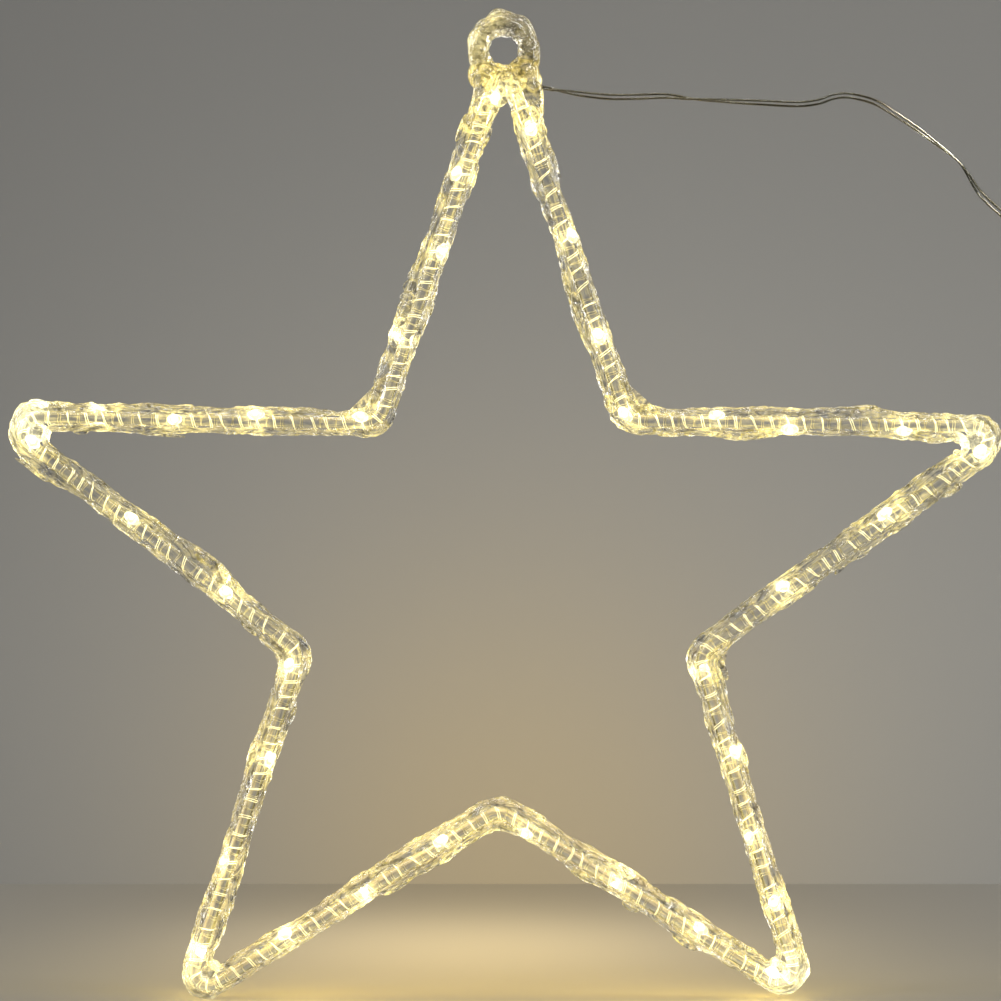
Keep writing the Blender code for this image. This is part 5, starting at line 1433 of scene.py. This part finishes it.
def melt_lenses(random):
    """Flat lenses of melt along the limbs, and pools of it in the tips."""
    shape = ball(*LENS_GRID)
    made = []
    for limb, share, outwards, long, wide, deep in MELT_LENSES:
        depth = random.uniform(-LENS_DEPTH, LENS_DEPTH)
        middle, ahead, outward = limb_spot(limb, share, outwards * MM, depth)
        lean = random.uniform(-LENS_LEAN, LENS_LEAN)
        along = ahead * math.cos(lean) + outward * math.sin(lean)
        across = outward * math.cos(lean) - ahead * math.sin(lean)
        halves = np.array([long, wide, deep]) * MM / 2
        made.append(lumpy_ball(shape, middle, (along, across, BACK), halves, LENS_LUMPS, random))
    for corner, distance, *halves in TIP_POOLS:
        middle = CORNERS[corner]
        inwards = unit(CORNERS[corner - 1] + CORNERS[(corner + 1) % len(CORNERS)] - 2 * middle)
        axes = in_space(np.array([inwards, [inwards[1], -inwards[0]]]))
        spot = in_space((middle + inwards * distance * MM)[None])[0]
        made.append(lumpy_ball(shape, spot, (*axes, BACK), np.array(halves) * MM, POOL_LUMPS, random))
    return made


def melt_curls():
    """Rings of drawn melt in front of the coat, each a slightly oval hoop of one thread."""
    turn = np.linspace(0, math.tau, CURL_POINTS, endpoint=False)
    made = []
    for limb, share, outwards, radius, thread, lean in MELT_CURLS:
        middle, ahead, outward = limb_spot(limb, share, outwards * MM, -CURL_FRONT)
        lean = math.radians(lean)
        side = ahead * math.cos(lean) + BACK * math.sin(lean)
        away = outward[None] * np.cos(turn)[:, None] + side[None] * np.sin(turn)[:, None]
        centres = middle + away * radius * MM * (1 + 0.12 * np.sin(2 * turn + lean))[:, None]
        normal = np.tile(np.cross(outward, side), (len(turn), 1))
        made.append(tube(centres, away, normal, thread * MM, thread * MM, CURL_SIDES, loop=True))
    return made


def melt_threads():
    """Threads that bow out of the coat: their height over it is rise * sin(pi s)^0.6 and a slow sway."""
    made = []
    for limb, first, last, outwards, rise, thread in MELT_THREADS:
        share = np.linspace(first, last, THREAD_POINTS)
        bow = np.sin(math.pi * np.linspace(0, 1, THREAD_POINTS))
        start, _, outward = limb_spot(limb, 0.0, 0.0)
        end = limb_spot(limb, 1.0, 0.0)[0]
        # Both ends start a little inside the coat
        sunk = THREAD_SUNK * math.copysign(1, outwards)
        sway = THREAD_SWAY * np.sin(9 * bow + limb)
        out = (outwards - sunk) * MM + (rise + sunk) * MM * bow**0.6 + sway
        depth = THREAD_DEPTHS[0] + THREAD_DEPTHS[1] * np.cos(5 * bow)
        centres = start + np.outer(share, end - start) + np.outer(out, outward) + np.outer(depth, BACK)
        slim = thread * MM * (0.45 + 0.55 * bow**0.4) * (1 + 0.12 * np.sin(23 * share + limb))
        sideways = np.tile(outward, (THREAD_POINTS, 1))
        back = np.tile(BACK, (THREAD_POINTS, 1))
        made.append(tube(centres, sideways, back, slim, slim * 1.2, THREAD_SIDES))
    return made


def melt_webs():
    """Webs from limb to limb across the notches, thinner towards their free edge."""
    made = []
    reach = np.linspace(0.12, 1.0, WEB_RINGS)[:, None]
    for corner, before, after in MELT_WEBS:
        middle, back, ahead = corner_sides(corner)
        lift = unit(back + ahead) * WEB_LIFT
        one = middle + lift + back * before * MM * reach
        other = middle + lift + ahead * after * MM * reach
        half = np.linalg.norm(other - one, axis=1) / 2
        across = in_space(unit(other - one))
        thin = (1.5 - 0.9 * reach[:, 0] + 0.12 * np.sin(11 * reach[:, 0])) * MM
        centres = in_space((one + other) / 2) - BACK * WEB_FRONT
        made.append(tube(centres, across, np.tile(BACK, (WEB_RINGS, 1)), half, thin, WEB_SIDES))
    return made


class STAR_OT_coat(bpy.types.Operator):
    """Make the melted coat: a lumpy crescent along each edge of the rod, and a swelling over each LED"""

    bl_idname = "star.coat"
    bl_label = "Melted coat"

    def execute(self, context):
        random = np.random.default_rng(SEED)
        finish = clear_acrylic("melted_acrylic_coat", halo=0.42, glow=0.36, drawn=True, relief=0.8, folds=0.7)
        outer = coat_band(1, OUTER_SHARES, OUTER_CORNERS, random)
        inner = coat_band(-1, INNER_SHARES, INNER_CORNERS, random)
        piece("outer_coat", [outer], finish, replaces=["outer_strand"])
        piece("inner_coat", [inner], finish, replaces=["inner_strand"])
        pooled = clear_acrylic("pooled_acrylic_melt", halo=0.3, glow=0.34, relief=0.25, folds=0.6)
        details = [*melt_lenses(random), *melt_curls(), *melt_threads(), *melt_webs()]
        piece("melt_details", details, pooled)
        shape = ball(*SWELLING_GRID)
        middles, _, _, away = led_frames()
        _, _, ahead = round_the_rod(LED_RUNS, LED_TURNS, 0.0)
        swellings = []
        for middle, out, along in zip(middles, away, ahead):
            halves = [random.uniform(*SWELLING_LONG), random.uniform(*SWELLING_WIDE), SWELLING_DEEP]
            axes = (along, np.cross(out, along), out)
            spot = middle + out * SWELLING_HEIGHT
            swellings.append(lumpy_ball(shape, spot, axes, np.array(halves) * MM, SWELLING_LUMPS, random))
        swell = clear_acrylic("acrylic_swelling", halo=0.4, glow=0.1, relief=0.25, roughness=0.28, folds=0.0)
        piece("led_swellings", swellings, swell, reach=SWELLING_NEAR)
        return {"FINISHED"}


def eye_laps(random):
    """Closed laps of melt: a lumpy ellipse carried round the hole, from its edge to a lap's outer radius."""
    angle = np.linspace(0, math.tau, LAP_RINGS, endpoint=False)
    outward = in_space(np.column_stack([np.sin(angle), np.cos(angle)]))
    made = []
    for depth, deep, inner, radii in EYE_LAPS:
        knots = np.linspace(0, math.tau, len(radii) + 1)
        outer = smoothed(np.interp(angle, knots, [*radii, radii[0]]), LAP_SMOOTHING, "wrap")
        hole = inner + 0.35 * np.sin(5 * angle + depth) ** 2
        bank = random.integers(3, 11, 9), random.integers(-3, 4, 9), random.uniform(0, math.tau, 9)
        lumps = 1 + LAP_LUMPS * ripple(angle[:, None], EYE_SECTION[None], bank)
        half = ((outer - hole) / 2)[:, None] * lumps * np.cos(EYE_SECTION)[None]
        middle = ((outer + hole) / 2)[:, None]
        radius = np.maximum(middle + half, EYE_HOLE) * MM
        back = (depth + deep * lumps * np.sin(EYE_SECTION)[None]) * MM
        rings = outward[:, None] * radius[:, :, None] + BACK[None, None] * back[:, :, None]
        made.append(carried(rings, loop=True))
    return made


def eye_lumps(random):
    """Lumpy swellings of melt, one for each row of the table."""
    shape = ball(*LUMP_GRID)
    axes = np.array([[1.0, 0.0, 0.0], [0.0, 0.0, 1.0], [0.0, 1.0, 0.0]])
    made = []
    for x, z, wide, tall, deep, depth in EYE_LUMPS:
        middle = np.array([x, depth, z]) * MM
        halves = np.array([wide, tall, deep]) * MM
        made.append(lumpy_ball(shape, middle, axes, halves, LUMP_LUMPS, random))
    return made


def eye_legs(random):
    """The foot's two legs: lumpy ellipses carried down along both limbs, rounded off at their ends."""
    share = np.linspace(0, 1, LEG_RINGS)
    round_off = np.sqrt(np.clip(1 - np.abs(2 * share - 1) ** 8, 0, 1))[:, None]
    made = []
    for leg in EYE_LEGS:
        x, z, wide, deep = (np.interp(share, np.linspace(0, 1, len(leg)), column) for column in zip(*leg))
        x, z = (smoothed(values, LEG_SMOOTHING, "edge") for values in (x, z))
        bank = random.uniform(8, 30, 12), random.integers(-3, 4, 12), random.uniform(0, math.tau, 12)
        lumps = 1 + LEG_LUMPS * ripple(share[:, None], EYE_SECTION[None], bank)
        out = wide[:, None] * lumps * round_off * np.cos(EYE_SECTION)[None] + x[:, None]
        back = deep[:, None] * lumps * round_off * np.sin(EYE_SECTION)[None]
        rings = np.stack([out, back, np.broadcast_to(z[:, None], out.shape)], axis=-1) * MM
        made.append(carried(rings))
    return made


class STAR_OT_eye(bpy.types.Operator):
    """Make the eye: laps of melted acrylic round the hole, and the lumpy foot round the rod's apex"""

    bl_idname = "star.eye"
    bl_label = "Eye"

    def execute(self, context):
        random = np.random.default_rng(SEED + 1)
        parts = [*eye_laps(random), *eye_lumps(random), *eye_legs(random)]
        looks = {"halo": 0.31, "glow": 0.2, "relief": 0.25, "tint": "#fffdf7", "folds": 0.7}
        finish = clear_acrylic("melted_acrylic_eye", **looks)
        piece("melted_eye", parts, finish, replaces=["hanging_eye"])
        return {"FINISHED"}


class STAR_OT_battery_box(bpy.types.Operator):
    """Finish the battery box: moulded shell, cells, plated contacts, springs, board, switch and grommet"""

    bl_idname = "star.battery_box"
    bl_label = "Battery box"

    def execute(self, context):
        for name, nodes, colour, roughness in BOX_PLASTICS:
            finish = moulded(name, srgb(colour) if colour else colours().shell, roughness)
            for node in nodes:
                dress(node, finish)
        plate = nickel_plate()
        for node in PLATED_NODES:
            dress(node, plate)
        _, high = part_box("timer_board")
        dress("timer_board", solder_mask(high[2] - CHIP_HEIGHT))
        dress("splice_sleeve", clear_sheath())
        for number in (1, 2, 3):
            low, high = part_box(f"aa_cell_{number}")
            way = 1 if number % 2 else -1
            wrap = cell_wrap(f"cell_sleeve_{number}", low[0] if way > 0 else high[0], way)
            dress(f"aa_cell_{number}", wrap)
            self.spring(number, plate)
        return {"FINISHED"}

    def spring(self, number, finish):
        """A cone of coils: the radius falls evenly from plate to cell, with flat turns at both ends."""
        low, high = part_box(f"cell_spring_{number}")
        turn = np.linspace(0, (SPRING_CURLS + 2 * SPRING_FLAT) * math.tau, SPRING_POINTS)
        share = np.clip((turn / math.tau - SPRING_FLAT) / SPRING_CURLS, 0, 1)
        radius = (SPRING_BASE + (SPRING_TOP - SPRING_BASE) * share - SPRING_WIRE) / 2
        wide_right = number % 2 == 1
        long = high[0] - low[0] - SPRING_WIRE
        start = high[0] - SPRING_WIRE / 2 if wide_right else low[0] + SPRING_WIRE / 2
        _, middle_y, middle_z = (low + high) / 2
        along = start + (-long if wide_right else long) * share
        away = np.column_stack([np.zeros(len(turn)), np.cos(turn), np.sin(turn)])
        centres = np.column_stack([along, np.full(len(turn), middle_y), np.full(len(turn), middle_z)])
        centres = centres + away * radius[:, None]
        along_x = np.tile([1.0, 0.0, 0.0], (len(turn), 1))
        coil = tube(centres, away, along_x, SPRING_WIRE / 2, SPRING_WIRE / 2, SPRING_SIDES)
        node = f"cell_spring_{number}"
        piece(f"coiled_spring_{number}", [coil], finish, replaces=[node], glow=False)


def dress(name, finish):
    """Gives a node of the frame its finish."""
    node = NODES[name]
    node.data.materials.clear()
    node.data.materials.append(finish)


def bell(tree, place, middle, spreads):
    """exp(-d^2), d being the distance from a middle measured in spreads along each axis."""
    scale = [1 / spread if spread else 0.0 for spread in spreads]
    offset = [-at * times for at, times in zip(middle, scale)]
    moved = add(tree, "Mapping", {"Vector": place, "Location": offset, "Scale": scale}).outputs[0]
    square = add(tree, "VectorMath", {0: moved, 1: moved}, operation="DOT_PRODUCT").outputs["Value"]
    return maths(tree, "POWER", math.exp(-1), square)


def card(name, colour, roughness, tones, bright, warm):
    """Painted board, seen from its front only: from behind, the view passes through it.

    Painted light: the paint's tone goes from the set's left to its right and rises in a bell round a bright
    middle. A second bell, painted warm light from the star, turns it warm. Each bell is its middle, its
    spreads and its height.
    """
    made, tree = new_material(name)
    place = own_place(tree)
    sideways = add(tree, "SeparateXYZ", {0: place}).outputs[0]
    tone = ranged(tree, sideways, -PAINTED_LIGHT_REACH, PAINTED_LIGHT_REACH, *tones)
    tone = maths(tree, "MULTIPLY_ADD", bell(tree, place, *bright[:2]), bright[2], tone)
    # The paint is a little uneven, and painted shade stands for the studio's light falling off beyond the
    # middle of the set
    mottle = ranged(tree, noise(tree, place, 3.0, 2.0), 0.0, 1.0, 0.98, 1.02)
    tone = maths(tree, "MULTIPLY", tone, mottle)
    sideways = maths(tree, "ABSOLUTE", sideways)
    lit = ranged(tree, sideways, *PAINTED_DIM_RANGE, 1.0, PAINTED_DIM_TONE, interpolation_type="SMOOTHSTEP")
    # The camera sees the same paint everywhere. Only light that the clear pieces bend finds the painted dim
    # ends
    lit = maths(tree, "MAXIMUM", lit, add(tree, "LightPath").outputs["Is Camera Ray"])
    tone = maths(tree, "MULTIPLY", tone, lit)
    # Painted warm light: the star's light on the boards is a warm bell in the paint's colour
    painted_warm_hue = blend(tree, maths(tree, "MULTIPLY", bell(tree, place, *warm[:2]), warm[2]), colour, colours().warm)
    mottle_and_painted_light = add(tree, "VectorMath", {0: painted_warm_hue, 3: tone}, operation="SCALE").outputs[0]
    paint = add(tree, "BsdfPrincipled", {"Base Color": mottle_and_painted_light, "Roughness": roughness})
    facing = add(tree, "NewGeometry").outputs["Backfacing"]
    clear = add(tree, "BsdfTransparent")
    shown = add(tree, "MixShader", {0: facing, 1: paint.outputs[0], 2: clear.outputs[0]})
    return finish_material(made, tree, shown.outputs[0])


def board(name, corners, finish):
    """One flat face through its corners."""
    mesh = bpy.data.meshes.new(name)
    mesh.from_pydata(corners, [], [(0, 1, 2, 3)])
    mesh.materials.append(finish)
    made = bpy.data.objects.new(name, mesh)
    bpy.context.scene.collection.objects.link(made)
    return made


def receivers(name, pieces):
    """A collection of the objects that one group of lamps lights."""
    made = bpy.data.collections.new(name)
    for kept in pieces:
        made.objects.link(bpy.data.objects[kept])
    return made


def lamp(name, kind, power, place, size=None, lights=None):
    """A lamp that the camera doesn't see. It lights everything, or one collection."""
    light = bpy.data.lights.new(name, kind)
    light.energy = power
    if size:
        light.shape = "RECTANGLE"
        light.size, light.size_y = size
    made = bpy.data.objects.new(name, light)
    bpy.context.scene.collection.objects.link(made)
    made.location = place
    made.visible_camera = False
    if lights:
        made.light_linking.receiver_collection = lights
    return made


def turn_to(made, rotation):
    made.rotation_mode = "QUATERNION"
    made.rotation_quaternion = rotation


def set_boards(floor):
    """The table under the star, and the backdrop that rises from it."""
    half, top = STAGE_HALF, floor + BACKDROP_HEIGHT
    ground = [(-half, -half, floor), (half, -half, floor), (half, half, floor), (-half, half, floor)]
    wall = [(-half, WALL, floor), (half, WALL, floor), (half, WALL, top), (-half, WALL, top)]
    board("table", ground, card("satin_table", colours().table, 0.4, *TABLE_PAINTED_LIGHT))
    board("backdrop", wall, card("matt_backdrop", colours().backdrop, 0.8, *BACKDROP_PAINTED_LIGHT))


def set_lamps():
    """Softboxes round the set, strips that rim the clear pieces, and a spot that glints on the lead."""
    for name, place, size, power in LAMPS:
        made = lamp(name, "AREA", power, place, size)
        turn_to(made, (Vector(LAMP_AIM) - Vector(place)).to_track_quat("-Z", "Y"))
    rimmed = receivers("lit_by_rim_strips", CLEAR_PIECES)
    for name, place, turned, power in RIM_STRIPS:
        lamp(name, "AREA", power, place, RIM_SIZE, rimmed).rotation_euler = turned
    # The spot's long side lies along the lead, and its middle where the lead mirrors it
    glinting = receivers("lit_by_lead_spot", ("lead_wires", "lead_cores"))
    spot = lamp("lead_spot", "AREA", LEAD_SPOT_POWER, LEAD_SPOT, LEAD_SPOT_SIZE, glinting)
    away = (Vector(LEAD_SPOT) - Vector(LEAD_GLINT)).normalized()
    across = away.cross(Vector(LEAD_SLOPE)).normalized()
    turn_to(spot, Matrix((across.cross(away), across, away)).transposed().to_quaternion())


def set_led_lamps(floor):
    """The light that the lit drops throw on the table."""
    lit_by_leds = receivers("lit_by_leds", ["table"])
    for index, middle in enumerate(round_the_rod(LED_RUNS, LED_TURNS, 0.0)[0], start=1):
        # The drops near the table face away from it, so that it catches less of their light
        power = LED_POWER * min(1.0, LED_LOW_SHARE + (middle[2] - floor) / LED_FULL_HEIGHT)
        made = lamp(f"led_light_{index:02d}", "POINT", power, middle, lights=lit_by_leds)
        made.data.color = srgb("#ffe680")
        made.data.shadow_soft_size = LED_LAMP_RADIUS
        made.visible_transmission = False


def set_world():
    """Plain grey light. The camera sees a grey room, and the clear pieces mirror and bend a dark one."""
    world = bpy.data.worlds.new("studio")
    bpy.context.scene.world = world
    world.use_nodes = True
    tree = world.node_tree
    tree.nodes.clear()
    path = add(tree, "LightPath").outputs
    bent = maths(tree, "MAXIMUM", path["Is Glossy Ray"], path["Is Transmission Ray"])
    tone = blend(tree, bent, (WORLD_GREY,) * 3, srgb("#171613"))
    tone = blend(tree, path["Is Camera Ray"], tone, srgb("#73716b"))
    sky = add(tree, "Background", {"Color": tone, "Strength": 1.0})
    add(tree, "OutputWorld", {"Surface": sky.outputs[0]})


class STAR_OT_stage(bpy.types.Operator):
    """Set the stage: a table, a backdrop behind it, soft lamps and an even world"""

    bl_idname = "star.stage"
    bl_label = "Stage"

    def execute(self, context):
        context.scene.view_settings.view_transform = "Standard"
        floor = CAD_BOX[0][2] - TABLE_CLEARANCE
        set_boards(floor)
        set_lamps()
        set_led_lamps(floor)
        set_world()
        return {"FINISHED"}


class STAR_PT_panel(bpy.types.Panel):
    """The star's sizes, colours and steps"""

    bl_label = "LED Star"
    bl_idname = "STAR_PT_panel"
    bl_space_type = "VIEW_3D"
    bl_region_type = "UI"
    bl_category = "LED Star"

    def draw(self, context):
        layout = self.layout
        for group in (context.scene.star_sizes, context.scene.star_colours):
            box = layout.box()
            for name in group.__annotations__:
                box.prop(group, name)
        for step in STEPS:
            layout.operator(step.bl_idname)


STEPS = (
    STAR_OT_camera,
    STAR_OT_lead,
    STAR_OT_rod,
    STAR_OT_winding,
    STAR_OT_leds,
    STAR_OT_coat,
    STAR_OT_eye,
    STAR_OT_battery_box,
    STAR_OT_stage,
)
CLASSES = (StarSizes, StarColours, *STEPS, STAR_PT_panel)


def register():
    for kind in CLASSES:
        bpy.utils.register_class(kind)
    bpy.types.Scene.star_sizes = bpy.props.PointerProperty(type=StarSizes)
    bpy.types.Scene.star_colours = bpy.props.PointerProperty(type=StarColours)


def unregister():
    del bpy.types.Scene.star_colours
    del bpy.types.Scene.star_sizes
    for kind in reversed(CLASSES):
        bpy.utils.unregister_class(kind)


def main():
    register()
    bpy.ops.star.camera()
    bpy.ops.star.lead()
    bpy.ops.star.rod()
    bpy.ops.star.winding()
    bpy.ops.star.leds()
    bpy.ops.star.coat()
    bpy.ops.star.eye()
    bpy.ops.star.battery_box()
    bpy.ops.star.stage()


if __name__ == "__main__":
    main()
